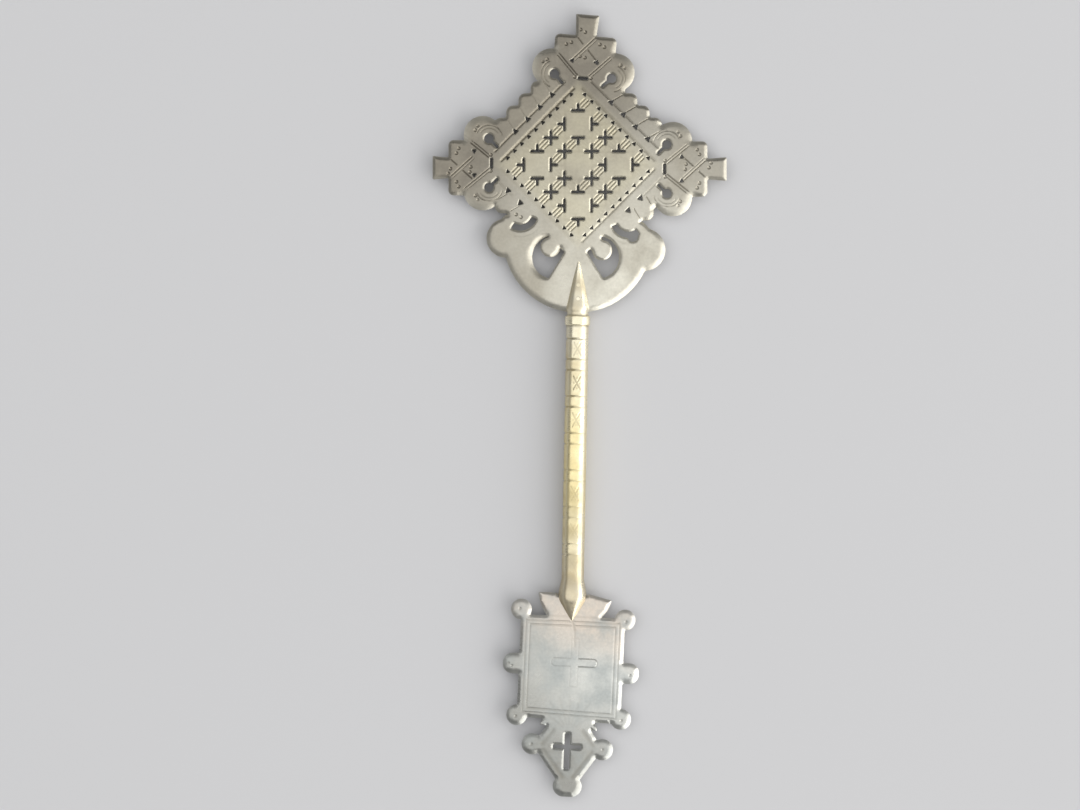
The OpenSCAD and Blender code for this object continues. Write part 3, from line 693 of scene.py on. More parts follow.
# %% How wide the edges are filed
OPENING_ROUND, SMALLEST_ROUND, LARGEST_ROUND = 0.25, 0.3, 1.2
WING_HOLE, LEFT_FLANK, RIGHT_FLANK = 60.0, 2.2, 1.0
FACING, SLIMMEST_SHARE, SHARE_PASSES = -0.3, 0.15, 8
RIM_SHARE, OPENING_SHARE, SLIM_SHARE = 0.58, 0.28, 0.42


def edge_widths(rim, after, outer_width):
    """Width of the filed edge at each rim point, from the root of its loop's area."""
    loop, area = rim_loops(rim, after)
    opening = np.clip(OPENING_ROUND * np.sqrt(np.abs(area)), SMALLEST_ROUND, LARGEST_ROUND)
    width = np.where(area > 0, outer_width, opening)[loop]
    flank = np.clip(inward_of(rim, after)[:, 0] * np.sign(rim[:, 0]), 0, 1)
    most = np.where(rim[:, 0] < 0, LEFT_FLANK, RIGHT_FLANK)
    return width + np.where((area < -WING_HOLE)[loop], most * flank, 0)


def smoothed(values, after, passes):
    """Values along the rim, each averaged with its two neighbours a number of times."""
    before = point_before(after)
    for _ in range(passes):
        values = (values[before] + values + values[after]) / 3
    return values


def held_back(rim, after, width):
    """Narrow the filed edge where two rims face each other across slim metal, so that they never meet.

    Each takes less than half of the metal between them, but the outer rim takes more beside a small opening.
    """
    inward = inward_of(rim, after)
    loop, area = rim_loops(rim, after)
    outer = (area > 0)[loop]
    small = ~outer & (area > -WING_HOLE)[loop]
    apart = rim[None] - rim[:, None]
    ahead = (apart * inward[:, None]).sum(axis=-1)
    aside = np.abs(apart[..., 0] * inward[:, None, 1] - apart[..., 1] * inward[:, None, 0])
    facing = (inward @ inward.T < FACING) & (ahead > 0) & (aside < ahead)
    slim = np.where(facing, ahead, np.inf)
    across = slim.argmin(axis=1)
    most = np.where(small & outer[across], OPENING_SHARE, SLIM_SHARE)
    most = np.where(outer & small[across], RIM_SHARE, most)
    share = np.clip(most * slim.min(axis=1) / width, SLIMMEST_SHARE, 1)
    for _ in range(SHARE_PASSES):
        share = np.minimum(share, smoothed(share, after, 1))
    return width * share


trial_widths = edge_widths(head_rim, head_after, LARGEST_ROUND)
print("openings are filed", trial_widths.min().round(2), "to", trial_widths.max().round(2), "mm wide")

# %% Build the head plate
STEEP, DEEPEST = 0.62, 1.5
OUTER_ROUND, CURL_ROUND, WING_ROUND = 1.9, 4.4, 2.8
CURL_NEAR, WING_TOP, DOME_PASSES = CURL_R + 1.0, 76.0, 12
HEAD_SPACING = 0.85
LATTICE_HALF, LATTICE_FADE, LATTICE_MOST = 38.0, 9.0, 0.6


def lattice_warmth(plan):
    """Yellow on the lattice, fading out past its frame: the frame is a square standing on its corner."""
    own = turned(plan - HEAD_MIDDLE, -HEAD_TURN)
    return LATTICE_MOST * np.clip((LATTICE_HALF - np.abs(own).sum(axis=1)) / LATTICE_FADE, 0, 1)


def least_gap(points, places):
    """Distance from each point to the nearest of some places."""
    return np.hypot(*(points[:, None] - places[None]).transpose(2, 0, 1)).min(axis=1)


def domed(rim, after, width):
    """The filed edge, widened round the curls and along the wing's rim, with gradual steps between."""
    middles = []
    for degrees, curl_shift, _, spread, _, _ in CORNERS.values():
        both = [[CURL_OUT, curl_shift + side * spread] for side in BOTH_SIDES]
        middles.append(turned(both, np.radians(degrees)))
    middles = turned(np.concatenate(middles), HEAD_TURN) + HEAD_MIDDLE
    outside = width == OUTER_ROUND
    wide = np.where(outside & (least_gap(rim, middles) < CURL_NEAR), CURL_ROUND, width)
    wide = np.where(outside & (rim[:, 1] < WING_TOP), WING_ROUND, wide)
    return np.where(outside, smoothed(wide, after, DOME_PASSES), wide)


head_width = domed(head_rim, head_after, edge_widths(head_rim, head_after, OUTER_ROUND))
head_width = held_back(head_rim, head_after, head_width)
head_drop = np.minimum(STEEP * head_width, DEEPEST)
head = make_plate(
    "head_of_cross", "head_plate", head_rim, head_after, head_width, head_drop,
    head_strokes, head_back_strokes, head_dots, HEAD_SPACING, lattice_warmth,
)

# %% [markdown]
# The tablet is plain in the middle, with a double line inside its edges and a small outlined cross. Its
# drawing is made upright round the upper pin and then turned with the plate, which hangs a little askew.

# %% The lines of the tablet
TABLET_TURN, TABLET_SHIFT = np.radians(-1.5), 0.7
TABLET_PIN = np.array([0.368, -84.88])
TABLET_PLACE = TABLET_PIN + turned([[TABLET_SHIFT, 0]], TABLET_TURN)[0]
TABLET_HALF, TABLET_TOP, TABLET_FOOT = 22.6, -6.65, -51.85
TABLET_MID = (TABLET_TOP + TABLET_FOOT) / 2
FOOT_SLANT = 0.8
BORDER_INSETS, BORDER_HALF, BORDER_DEEP = (2.3, 4.1), 0.65, 0.22
CROSS_MIDDLE = np.array([1.3, TABLET_MID + 2.6])
ARM_HALF, POST_HALF, ARM_REACH, POST_REACH = 1.75, 1.6, 8.2, 10.5
CROSS_HALF, RIGHT_ARM_DEEP, LEFT_ARM_DEEP, POST_DEEP = 0.42, 0.2, 0.13, 0.09
CREASE, CREASE_SIZES = ((-0.5, -1.5), (0.9, -6.0), (1.2, -13.0)), ((1.0, 0.3), (0.7, 0.18))
CROWN_ENDS, CROWN_DROP, CROWN_HALF, CROWN_DEEP = (-11.4, 12.2), 0.2, 0.7, 0.14


def tablet_border():
    """Two worn lines inside the tablet's edges, the lowest ones slanting with the tablet's foot."""
    lines = []
    for inset in BORDER_INSETS:
        x, top, foot = TABLET_HALF - inset, TABLET_TOP - inset, TABLET_FOOT + inset
        slant = FOOT_SLANT / TABLET_HALF * x
        corners = [(-x, top), (-x, foot + slant), (x, foot - slant), (x, top), (-x, top)]
        lines.append(strokes_along(corners, BORDER_HALF, BORDER_DEEP, WORN))
    return np.concatenate(lines)


def outlined_cross():
    """A thin outlined cross in the middle of the field: round arm ends, the post worn faint."""
    upper, lower = [(POST_HALF, ARM_HALF)], [(POST_HALF, -ARM_HALF)]
    arm = np.concatenate([upper, arc([ARM_REACH, 0], ARM_HALF, 90, -90), lower])
    side = np.array([(POST_HALF, ARM_HALF), (POST_HALF, POST_REACH)])
    post = np.concatenate([side, side[::-1] * [-1, 1]])
    parts = (
        (arm, RIGHT_ARM_DEEP), (arm * [-1, 1], LEFT_ARM_DEEP),
        (post, POST_DEEP), (post * [1, -1], POST_DEEP),
    )
    return np.concatenate([strokes_along(path + CROSS_MIDDLE, CROSS_HALF, deep) for path, deep in parts])


def crease_and_crown():
    """A crease that runs down from the fork's point, and a worn line where the crown begins."""
    path = [(x, TABLET_TOP + y) for x, y in CREASE]
    crease = [strokes_along(ends, *size) for *ends, size in zip(path, path[1:], CREASE_SIZES)]
    crown = [(x, TABLET_TOP - CROWN_DROP) for x in CROWN_ENDS]
    return np.concatenate([*crease, strokes_along(crown, CROWN_HALF, CROWN_DEEP, WORN)])


field_strokes = np.concatenate([tablet_border(), outlined_cross()])
crown_strokes = crease_and_crown()
print("tablet:", len(field_strokes), "strokes on its field and", len(crown_strokes), "at its crown")

# %% The lines of the pendant
FAN_TURNS = np.radians([-52, -34, -17, 0, 17, 34, 52])
FAN_START, FAN_FROM, FAN_TO = np.array([0.0, TABLET_FOOT - 5.0]), 3.5, 15.5
FAN_HALF, FAN_DEEP = 0.9, 0.08
PENDANT_HALF, PENDANT_DEEP = 1.7, 0.3
# Each point of a groove: its distance from the middle, its lean to the right, its place from the foot.
PENDANT_GROOVES = (((6.4, 0, -4.5), (11.0, 0, -10.4)), ((10.6, 0, -13.2), (2.2, 0.4, -24.4)))


def chased_fan():
    """Lines that spread from the pendant's neck up into the tablet."""
    rays = np.stack([np.sin(FAN_TURNS), np.cos(FAN_TURNS)], axis=1)
    paths = [[FAN_START + FAN_FROM * ray, FAN_START + FAN_TO * ray] for ray in rays]
    return np.concatenate([strokes_along(path, FAN_HALF, FAN_DEEP) for path in paths])


def pendant_lines():
    """Broad worn grooves inside the edges of the pendant, which leave a raised rim."""
    lines = []
    for side, groove in product(BOTH_SIDES, PENDANT_GROOVES):
        path = [(side * x + lean, TABLET_FOOT + y) for x, lean, y in groove]
        lines.append(strokes_along(path, PENDANT_HALF, PENDANT_DEEP, WORN))
    return np.concatenate(lines)


tablet_drawing = np.concatenate([field_strokes, chased_fan(), pendant_lines(), crown_strokes])
print("tablet:", len(tablet_drawing), "strokes")

# %% [markdown]
# The knobs round the tablet and on its pendant are filed much rounder than the straight edges, and most
# have a small punched dot. The crown is warmer than the field, because fingers touch it.

# %% Build the tablet plate
KNOB_ROUND, KNOB_STEEP, KNOB_REACH = 3.0, 0.52, 5.2
# Middles of the knobs: at the corners, at the sides, beside the pendant and, as a pair, below it.
KNOBS = np.array([
    (-TABLET_HALF, TABLET_TOP + 2.2), (TABLET_HALF, TABLET_TOP - 0.6),
    (-TABLET_HALF, TABLET_FOOT + 1.4), (TABLET_HALF, TABLET_FOOT + 1.4),
    (-25.1, TABLET_MID + 1.2), (25.1, TABLET_MID - 1.2),
    (-15.3, TABLET_FOOT - 10.9), (15.3, TABLET_FOOT - 12.1),
    (-1.0, TABLET_FOOT - 28.6), (2.4, TABLET_FOOT - 28.6),
])
# Each dot of a knob: x, y, radius, depth.
KNOB_DOTS = np.array([
    (-23.2, TABLET_TOP + 2.4, 0.8, 0.3), (23.0, TABLET_TOP - 1.4, 0.8, 0.3),
    (-27.2, TABLET_MID + 1.2, 0.8, 0.3), (-25.6, TABLET_MID + 0.2, 0.6, 0.25),
    (25.8, TABLET_MID - 1.9, 0.8, 0.3),
    (-23.0, TABLET_FOOT + 0.9, 0.8, 0.3), (22.9, TABLET_FOOT + 0.9, 0.8, 0.3),
    (-15.6, TABLET_FOOT - 10.9, 0.9, 0.3), (15.4, TABLET_FOOT - 12.1, 0.8, 0.25),
])
TABLET_ROUND, TABLET_SPACING = 2.0, 0.8
CROWN_WARM, WARM_FADE, WARM_LEAN = TABLET_TOP - 4.0, 16.0, 0.2


def crown_warmth(plan):
    """Warm at the crown and fading down the field, a little later on the right."""
    own = turned(plan - TABLET_PLACE, -TABLET_TURN)
    return np.clip(1 + (own[:, 1] - CROWN_WARM + WARM_LEAN * own[:, 0]) / WARM_FADE, 0, 1)


tablet_strokes = placed(tablet_drawing, TABLET_TURN, TABLET_PLACE)
tablet_back_strokes = placed(tablet_border(), TABLET_TURN, TABLET_PLACE)
tablet_dots = placed(KNOB_DOTS, TABLET_TURN, TABLET_PLACE)
plain_width = edge_widths(tablet_rim, tablet_after, TABLET_ROUND)
upright_rim = turned(tablet_rim - TABLET_PLACE, -TABLET_TURN)
on_knob = (plain_width == TABLET_ROUND) & (least_gap(upright_rim, KNOBS) < KNOB_REACH)
tablet_width = held_back(tablet_rim, tablet_after, np.where(on_knob, KNOB_ROUND, plain_width))
tablet_drop = tablet_width * np.where(on_knob, KNOB_STEEP, STEEP)
tablet = make_plate(
    "tablet_of_cross", "tablet_plate", tablet_rim, tablet_after, tablet_width, tablet_drop,
    tablet_strokes, tablet_back_strokes, tablet_dots, TABLET_SPACING, crown_warmth,
)

# %% [markdown]
# The bar is a surface of two parameters, the angle round its axis and the place along it. A plane at
# distance h lies h over the cosine of the angle away, and eight planes together would take the least
# of these. A power sum of the eight takes nearly the least and rounds the arrises, as years of hands do.

# %% The eight flats of the bar
AXIS_X, AXIS_Z, GRIP_START = TABLET_PIN[0], 5.5, -75.28
GRIP, GRIP_LONG, NECK, SEAT, SHOULDER = 4.9, 110.0, 4.7, 4.1, 5.3
FLARE_W, FLARE_D, TIP_W, TIP_D = 6.5, 5.5, 0.85, 1.85
# Each station: its place along the bar, half width, half depth.
STATIONS = np.array([
    (-17.8, TIP_W, TIP_D), (-8.3, FLARE_W, FLARE_D), (0.0, GRIP, GRIP), (GRIP_LONG, GRIP, GRIP),
    (110.02, SEAT, SEAT), (114.18, SEAT, SEAT), (114.2, NECK, NECK), (115.6, NECK, NECK),
    (117.0, SHOULDER, SHOULDER), (137.7, TIP_W, TIP_D),
])
ARRIS_PLACES, ARRIS_POWERS = (-17.8, -8.3, 0, 113, 118, 137.7), (10, 10, 9, 9, 9, 10)
SOFT_PLACES = (-17.8, -15, -5, -2, 115.8, 116.6, 118, 120)
SOFT_REACHES = (0, 1.6, 1.6, 0, 0, 0.8, 0.8, 0)
SOFT_STEPS = (-1, -0.5, 0, 0.5, 1)
FLATS = even_turns(8)


def half_size(along, column):
    """Half width or depth between the stations, averaged over a short run where the bar is filed round."""
    reach = np.interp(along, SOFT_PLACES, SOFT_REACHES)
    runs = [np.interp(along + step * reach, STATIONS[:, 0], STATIONS[:, column]) for step in SOFT_STEPS]
    return np.mean(runs, axis=0)


def bar_reach(turn, along):
    """Distance from the axis to the bar's skin: a power sum of its eight flats."""
    arris = np.interp(along, ARRIS_PLACES, ARRIS_POWERS)
    width, depth = half_size(along, 1), half_size(along, 2)
    share = np.cos(FLATS) ** 2
    flats = width[..., None] * share + depth[..., None] * (1 - share)
    facing = np.maximum(np.cos(turn[..., None] - FLATS), 0) / flats
    return (facing ** arris[..., None]).sum(axis=-1) ** (-1 / arris)


half_way_up = np.full(2, GRIP_LONG / 2)
across_flats, across_arrises = 2 * bar_reach(np.array([FLATS[0], FLATS[1] / 2]), half_way_up)
print("grip:", across_flats.round(2), "mm across its flats,", across_arrises.round(2), "across its arrises")

# %% [markdown]
# Rings are filed round the grip in pairs, and a small saltire with four dots is chased between most of
# them, on the front and on the back. Both are taken off the bar's reach, as a file and a punch take them
# off. Both are fainter towards the foot, and the rings also on the right, where the hand rubs.

# %% The marks on the grip
RING_PAIRS, RING_FIRST, RING_PITCH, RING_SPLIT, TOP_RING = 6, 13, 16, 2.35, 104.2
RING_MIDDLES = RING_FIRST + RING_PITCH * np.arange(RING_PAIRS)
RINGS = np.append(RING_MIDDLES[:, None] + [-RING_SPLIT, RING_SPLIT], TOP_RING)
RING_HALF, RING_DEEP = 0.55, 0.55
RING_PLACES, RING_LEFT = (0, 55, 75, 104), (0.55, 0.65, 0.9, 1.0)
RING_FRONT, RING_LEAN = 0.56, 0.44
SALTIRES = np.array([5.4, 21.0, 37.0, 69.0, 85.0, 99.8])
SALTIRE_LEFT = np.array([0.2, 0.35, 0.5, 0.7, 1.0, 0.6])
SALTIRE_W, SALTIRE_H = 1.8, 3.1
SALTIRE_HALF, SALTIRE_DEEP = 0.6, 0.3
SALTIRE_DOT_OUT, SALTIRE_DOT_UP, SALTIRE_DOT_R, SALTIRE_DOT_DEEP = 1.3, 2.2, 0.6, 0.18
LEAST_FACING, FLAT_FACING = 0.3, np.cos(np.pi / 8)


def ring_depth(turn, along):
    """Cut of the incised rings, a V worn shallower on the right and towards the foot."""
    gap = np.abs(along[..., None] - RINGS).min(axis=-1)
    left = (RING_FRONT - RING_LEAN * np.cos(turn)) * np.interp(along, RING_PLACES, RING_LEFT)
    return RING_DEEP * left * np.clip(1 - gap / RING_HALF, 0, 1)


def saltire_depth(turn, along):
    """Cut of the small saltires on the front and back flats, with a dot in each of their forks."""
    facing = np.abs(np.sin(turn))
    across = GRIP * np.cos(turn) / np.maximum(facing, LEAST_FACING)
    place = along[..., None] - SALTIRES
    which = np.abs(place).argmin(axis=-1)
    nearest = np.take_along_axis(place, which[..., None], axis=-1)[..., 0]
    inside = (facing > FLAT_FACING) & (np.abs(nearest) < SALTIRE_H)
    long_side = np.hypot(SALTIRE_W, SALTIRE_H)
    strokes = [np.abs(SALTIRE_H * across - s * SALTIRE_W * nearest) / long_side for s in BOTH_SIDES]
    cut = SALTIRE_DEEP * np.clip(1 - np.minimum(*strokes) / SALTIRE_HALF, 0, 1)
    beside = np.hypot(np.abs(across) - SALTIRE_DOT_OUT, nearest)
    above = np.hypot(across, np.abs(nearest) - SALTIRE_DOT_UP)
    hollow = np.clip(1 - (np.minimum(beside, above) / SALTIRE_DOT_R) ** 2, 0, 1)
    return np.where(inside, np.maximum(cut, SALTIRE_DOT_DEEP * hollow) * SALTIRE_LEFT[which], 0)


print("grip:", len(RINGS), "rings, and", len(SALTIRES), "saltires on each of two flats")

# %% The skin of the bar
COLUMNS = 128
RING_ROWS, SALTIRE_ROW, PLAIN_ROW = 5, 0.25, 0.8
FIRST_ROW, LAST_ROW, ROW_DIGITS = -17.6, 137.6, 2


def round_axis(turn, y, reach):
    """Points round the bar's axis at an angle, a height and a distance."""
    return np.stack([AXIS_X + reach * np.cos(turn), y, AXIS_Z + reach * np.sin(turn)], axis=-1)


def bar_rows():
    """Places along the bar: its stations, close rows across every mark, and wider ones between."""
    ring_rows = RINGS[:, None] + np.linspace(-RING_HALF, RING_HALF, RING_ROWS)
    saltire_rows = SALTIRES[:, None] + np.arange(-SALTIRE_H, SALTIRE_H + SALTIRE_ROW / 2, SALTIRE_ROW)
    plain_rows = np.arange(FIRST_ROW, LAST_ROW, PLAIN_ROW)
    places = np.concatenate([STATIONS[:, 0], ring_rows.ravel(), saltire_rows.ravel(), plain_rows])
    return np.unique(np.round(places, ROW_DIGITS))


def bar_skin():
    """Points of the bar, row by row: its reach less the deeper of its marks."""
    turn, along = np.meshgrid(even_turns(COLUMNS), bar_rows())
    marks = np.maximum(ring_depth(turn, along), saltire_depth(turn, along))
    return round_axis(turn, along + GRIP_START, bar_reach(turn, along) - marks)


def tube_faces(rows, columns, closed=False):
    """Quads of a grid that closes round its columns, and round its rows where asked."""
    ring = np.arange(rows * columns).reshape(rows, columns)
    upper = np.roll(ring, -1, axis=0)
    if not closed:
        ring, upper = ring[:-1], upper[:-1]
    quads = np.stack([ring, np.roll(ring, -1, axis=1), np.roll(upper, -1, axis=1), upper], axis=-1)
    return quads.reshape(-1, 4)[:, ::-1]


def end_faces(count, columns):
    """Fans that close a tube, from its first and its last row to two added points."""
    first = np.arange(columns)
    last = np.arange(count - columns, count)
    low = np.stack([np.roll(first, -1), np.full(columns, count), first], axis=1)
    high = np.stack([last, np.full(columns, count + 1), np.roll(last, -1)], axis=1)
    return np.concatenate([low, high])


skin = bar_skin()
skin_points = skin.reshape(-1, 3)
bar_points = np.concatenate([skin_points, skin[[0, -1]].mean(axis=1)])
bar_faces = tube_faces(len(skin), COLUMNS).tolist() + end_faces(len(skin_points), COLUMNS).tolist()
print("bar:", len(skin), "rows of", COLUMNS, "points and", len(bar_faces), "faces")

# %% [markdown]
# Both ends of the bar are forks: a saw cut takes in the sheet and pins go through. The cuts could be
# built into the grid, but a Boolean with a box and with small cylinders is how they are really made.
# Where a cut grazes the skin, the Boolean leaves flakes without thickness, which are taken out.

# %% Saw blades and drills
SLOT, BLADE_HALF = 3.1, 20.0
HEAD_SEAT, HEAD_SAW_END = 40.32, 70.0
TABLET_SEAT, TABLET_SAW_END = -82.18, -110.0
HEAD_PINS, TABLET_PINS = np.array([46.22, 52.22]), np.array([TABLET_PIN[1], -88.38])
PIN_R, PIN_GAP = 0.9, 0.02
DRILL_SIDES, DRILL_ENDS = 32, (-5.0, 16.0)
BOX_FACES = [[0, 1, 3, 2], [4, 6, 7, 5], [0, 4, 5, 1], [2, 3, 7, 6], [0, 2, 6, 4], [1, 5, 7, 3]]


def bare_solid(name, points, faces):
    """A solid from points in millimetres, to be cut or to cut with."""
    mesh = bpy.data.meshes.new(name)
    mesh.from_pydata((np.asarray(points) * MM).tolist(), [], faces)
    made = bpy.data.objects.new(name, mesh)
    bpy.context.scene.collection.objects.link(made)
    return made


def saw_blade(name, seat, end, angle, pin_y):
    """A flat box from the seat of a saw cut outwards, turned with the plate about its first pin."""
    sides = (-BLADE_HALF, BLADE_HALF), sorted((seat, end)), (-SLOT / 2, SLOT / 2)
    corners = np.array(list(product(*sides)))
    middle = np.array([0.0, pin_y])
    flat = turned(corners[:, :2] - middle, angle) + middle + [AXIS_X, 0]
    return bare_solid(name, np.column_stack([flat, corners[:, 2] + AXIS_Z]), BOX_FACES)


def drill(name, pin_y):
    """A round bar through the fork, a little wider than its pin."""
    turn, z = np.meshgrid(even_turns(DRILL_SIDES), DRILL_ENDS)
    radius = PIN_R + PIN_GAP
    points = np.stack([AXIS_X + radius * np.cos(turn), pin_y + radius * np.sin(turn), z], axis=-1)
    below, above = np.arange(2 * DRILL_SIDES).reshape(2, -1)
    faces = tube_faces(2, DRILL_SIDES)[:, ::-1].tolist() + [below[::-1].tolist(), above.tolist()]
    return bare_solid(name, points.reshape(-1, 3), faces)


saws = [
    saw_blade("head_saw", HEAD_SEAT, HEAD_SAW_END, HEAD_TURN, HEAD_PINS[0]),
    saw_blade("tablet_saw", TABLET_SEAT, TABLET_SAW_END, TABLET_TURN, TABLET_PINS[0]),
]
drills = [drill(f"drill_{k}", y) for k, y in enumerate([*HEAD_PINS, *TABLET_PINS])]
print("tools:", len(saws), "saw blades and", len(drills), "drills")

# %% Saw the forks and drill for the pins
def without_flakes(mesh):
    """Points and triangles of a mesh, less the triangles that lie back to back on the same three points."""
    mesh.calc_loop_triangles()
    triangles = np.empty(3 * len(mesh.loop_triangles), np.int32)
    mesh.loop_triangles.foreach_get("vertices", triangles)
    triangles = triangles.reshape(-1, 3)
    same = np.unique(np.sort(triangles, axis=1), axis=0, return_inverse=True)[1].ravel()
    single = np.bincount(same)[same] == 1
    used, triangles = np.unique(triangles[single], return_inverse=True)
    points = np.empty(3 * len(mesh.vertices), np.float32)
    mesh.vertices.foreach_get("co", points)
    return points.reshape(-1, 3)[used] / MM, triangles.reshape(-1, 3)


def cut_with(piece, tools):
    """Points and triangles of a solid with all tools taken away, which uses up the solid and the tools."""
    for tool in tools:
        step = piece.modifiers.new(tool.name, "BOOLEAN")
        step.operation, step.object, step.solver = "DIFFERENCE", tool, "EXACT"
    bpy.context.view_layer.update()
    result = bpy.data.meshes.new_from_object(piece.evaluated_get(bpy.context.evaluated_depsgraph_get()))
    for used in (piece, *tools):
        bpy.data.objects.remove(used)
    return without_flakes(result)


uncut_bar = bare_solid("uncut_bar", bar_points, bar_faces)
sawn_points, sawn_triangles = cut_with(uncut_bar, [*saws, *drills])
print("bar after sawing:", len(sawn_triangles), "triangles")

# %% [markdown]
# A grip tells how it is held. Its middle is rubbed yellow, stains stay on the flats, and dirt lies in the
# marks and in the saw cuts. Beside the collar it is darker, dirt and painted shadow in the gaps. Its
# front-right facet is painted paler as a highlight, and its left side is darkened as painted shade. Each of
# these is a soft bump of the angle or of the place, kept on the points for the finish.

# %% Age the bar, and paint its highlight and shade
SAWN_ANGLE = np.radians(60)
SKIN_SHARE, SAWN_DIRT = 0.9, 0.5
COLLAR_ENDS, COLLAR_DIRT_AND_SHADE = np.array([GRIP_LONG, 114.2]), 1.2
WARM_PLACES, WARM_SHARES = (-17, 0, 15, 35, 70, 92, 112), (0.0, 0.12, 0.5, 0.9, 0.8, 0.3, 0.0)
HIGHLIGHT_SIDE, HIGHLIGHT_SHARE, HIGHLIGHT_POWER = np.pi / 4, 0.85, 8
STAIN_PLACES = np.array([-1.0, 8.0, 20.0, 29.0, 36.0, 120.0, 127.0])
STAIN_LONG, STAIN_WIDE, STAIN_MOST = 5.0, 0.9, 0.55
SHADED_SIDE, SHADED_MOST, SHADED_POWER = 2.75, 0.45, 12
ARRIS_POWER = 6


def towards(turn, side, power):
    """One where the skin faces a side and falling to nothing round it: a power of the cosine between."""
    return np.maximum(np.cos(turn - side), 0) ** power


def bar_dirt_and_shade(turn, along):
    """The most of four kinds of darkening: dirt in the marks, dirt and painted shadow beside the collar,
    stains and painted shade on the left side.
    """
    in_rings = ring_depth(turn, along) / RING_DEEP
    in_saltires = saltire_depth(turn, along) / SALTIRE_DEEP
    # Dirt and painted shadow in the gaps at both ends of the collar.
    by_collar = np.clip(COLLAR_DIRT_AND_SHADE - np.abs(along[:, None] - COLLAR_ENDS).min(axis=1), 0, 1)
    stain_gap = np.abs(along[:, None] - STAIN_PLACES).min(axis=1) / STAIN_LONG
    stain_side = np.arccos(np.abs(np.sin(turn))) / STAIN_WIDE
    stains = STAIN_MOST * np.clip(1 - stain_gap**2 - stain_side**2, 0, 1)
    # Painted shade: the left side, away from the lamp, is darkened.
    shaded = SHADED_MOST * towards(turn, SHADED_SIDE, SHADED_POWER)
    return np.clip(np.max([in_rings, in_saltires, by_collar, stains, shaded], axis=0), 0, 1)


from_axis = sawn_points - [AXIS_X, GRIP_START, AXIS_Z]
bar_turn, bar_along = np.arctan2(from_axis[:, 2], from_axis[:, 0]), from_axis[:, 1]
on_skin = np.hypot(from_axis[:, 0], from_axis[:, 2]) > SKIN_SHARE * bar_reach(bar_turn, bar_along)
dirt_and_shade = np.where(on_skin, bar_dirt_and_shade(bar_turn, bar_along), SAWN_DIRT)
arrises = np.maximum(-np.cos(4 * bar_turn), 0) ** ARRIS_POWER
# Painted highlight: the front-right facet, which faces the lamp, is made paler and less yellow.
painted_highlight = HIGHLIGHT_SHARE * towards(bar_turn, HIGHLIGHT_SIDE, HIGHLIGHT_POWER)
grip_warmth_and_highlight = np.interp(bar_along, WARM_PLACES, WARM_SHARES) * (1 - painted_highlight)
bar = make_piece(
    "shaft_of_cross", sawn_points, sawn_triangles.tolist(), dirt_and_shade, arrises, grip_warmth_and_highlight, SAWN_ANGLE,
)
print("skin points:", on_skin.sum(), "of", len(on_skin), "and mean dirt", round(float(dirt_and_shade.mean()), 3))

# %% [markdown]
# The collar is a strap bent round the neck, with a soldered seam behind. Its section is carried round
# the bar: straight inside, swelling outside, and the outside keeps a hint of the eight flats.

# %% The collar
COLLAR_FROM, COLLAR_TO, COLLAR_HALF, COLLAR_IN = 34.74, 38.90, 5.5, 4.15
COLLAR_ROWS, BULGE_POWER, LENGTH_POWER = 32, 0.55, 0.4
COLLAR_ARRIS, COLLAR_FIT, WALL_SHARE = 14, 0.995, 0.45
SEAM_TURN, SEAM_HALF, SEAM_DEEP = 1.5 * np.pi, 0.07, 0.25
COLLAR_WARM, COLLAR_GRIME_AND_SHADE, GRIME_AND_SHADE_REACH, SEAM_GRIME = 0.3, 0.8, 0.9, 3


def rounded_wave(wave, power):
    """A sine or cosine swollen towards a square wave: its size to a power below one, with its sign."""
    return np.sign(wave) * np.abs(wave) ** power


def make_collar():
    """A closed section, bulging outwards and straight inwards, carried round the bar's axis."""
    turn, section = np.meshgrid(even_turns(COLUMNS), even_turns(COLLAR_ROWS))
    bulge = rounded_wave(np.cos(section), BULGE_POWER)
    length = rounded_wave(np.sin(section), LENGTH_POWER)
    flats = np.maximum(np.cos(turn[..., None] - FLATS), 0) ** COLLAR_ARRIS
    outside = COLLAR_FIT * COLLAR_HALF * flats.sum(axis=-1) ** (-1 / COLLAR_ARRIS)
    seam = SEAM_DEEP * np.clip(1 - np.abs(turn - SEAM_TURN) / SEAM_HALF, 0, 1)
    swell = np.where(bulge > 0, WALL_SHARE + (1 - WALL_SHARE) * bulge, WALL_SHARE * (1 + bulge))
    reach = COLLAR_IN + (outside - COLLAR_IN - seam) * swell
    y = (COLLAR_FROM + COLLAR_TO) / 2 + (COLLAR_TO - COLLAR_FROM) / 2 * length
    points = round_axis(turn, y, reach).reshape(-1, 3)
    faces = tube_faces(COLLAR_ROWS, COLUMNS, closed=True).tolist()
    wear = np.clip(bulge, 0, 1).ravel()
    # Darker where the collar comes close to the bar, dirt and painted shadow in the gap, and dirt in the
    # seam.
    inner = COLLAR_GRIME_AND_SHADE * np.clip(1 - np.abs(reach - COLLAR_IN) / GRIME_AND_SHADE_REACH, 0, 1)
    grime_and_shade = np.clip(inner + SEAM_GRIME * seam, 0, 1).ravel()
    return make_piece("collar_of_cross", points, faces, grime_and_shade, wear, np.full(len(points), COLLAR_WARM))


collar = make_collar()
print("collar:", len(collar.data.polygons), "faces")

# %% [markdown]
# The pins are hammered and filed flush, so that only a faint ring shows. Each is a round bar whose two
# ends follow the slope of the prong, with the rim a hair lower than the middle.

# %% The pins
PIN_SIDES, PIN_DIRT, PIN_RING = 40, 0.25, 0.9
PIN_RADII, PIN_BELOW = np.array([0.5, 0.8, 0.97, 1.0]), np.array([0.0, 0.005, 0.02, 0.05])
PIN_ENDS = np.repeat([1, -1], len(PIN_RADII))


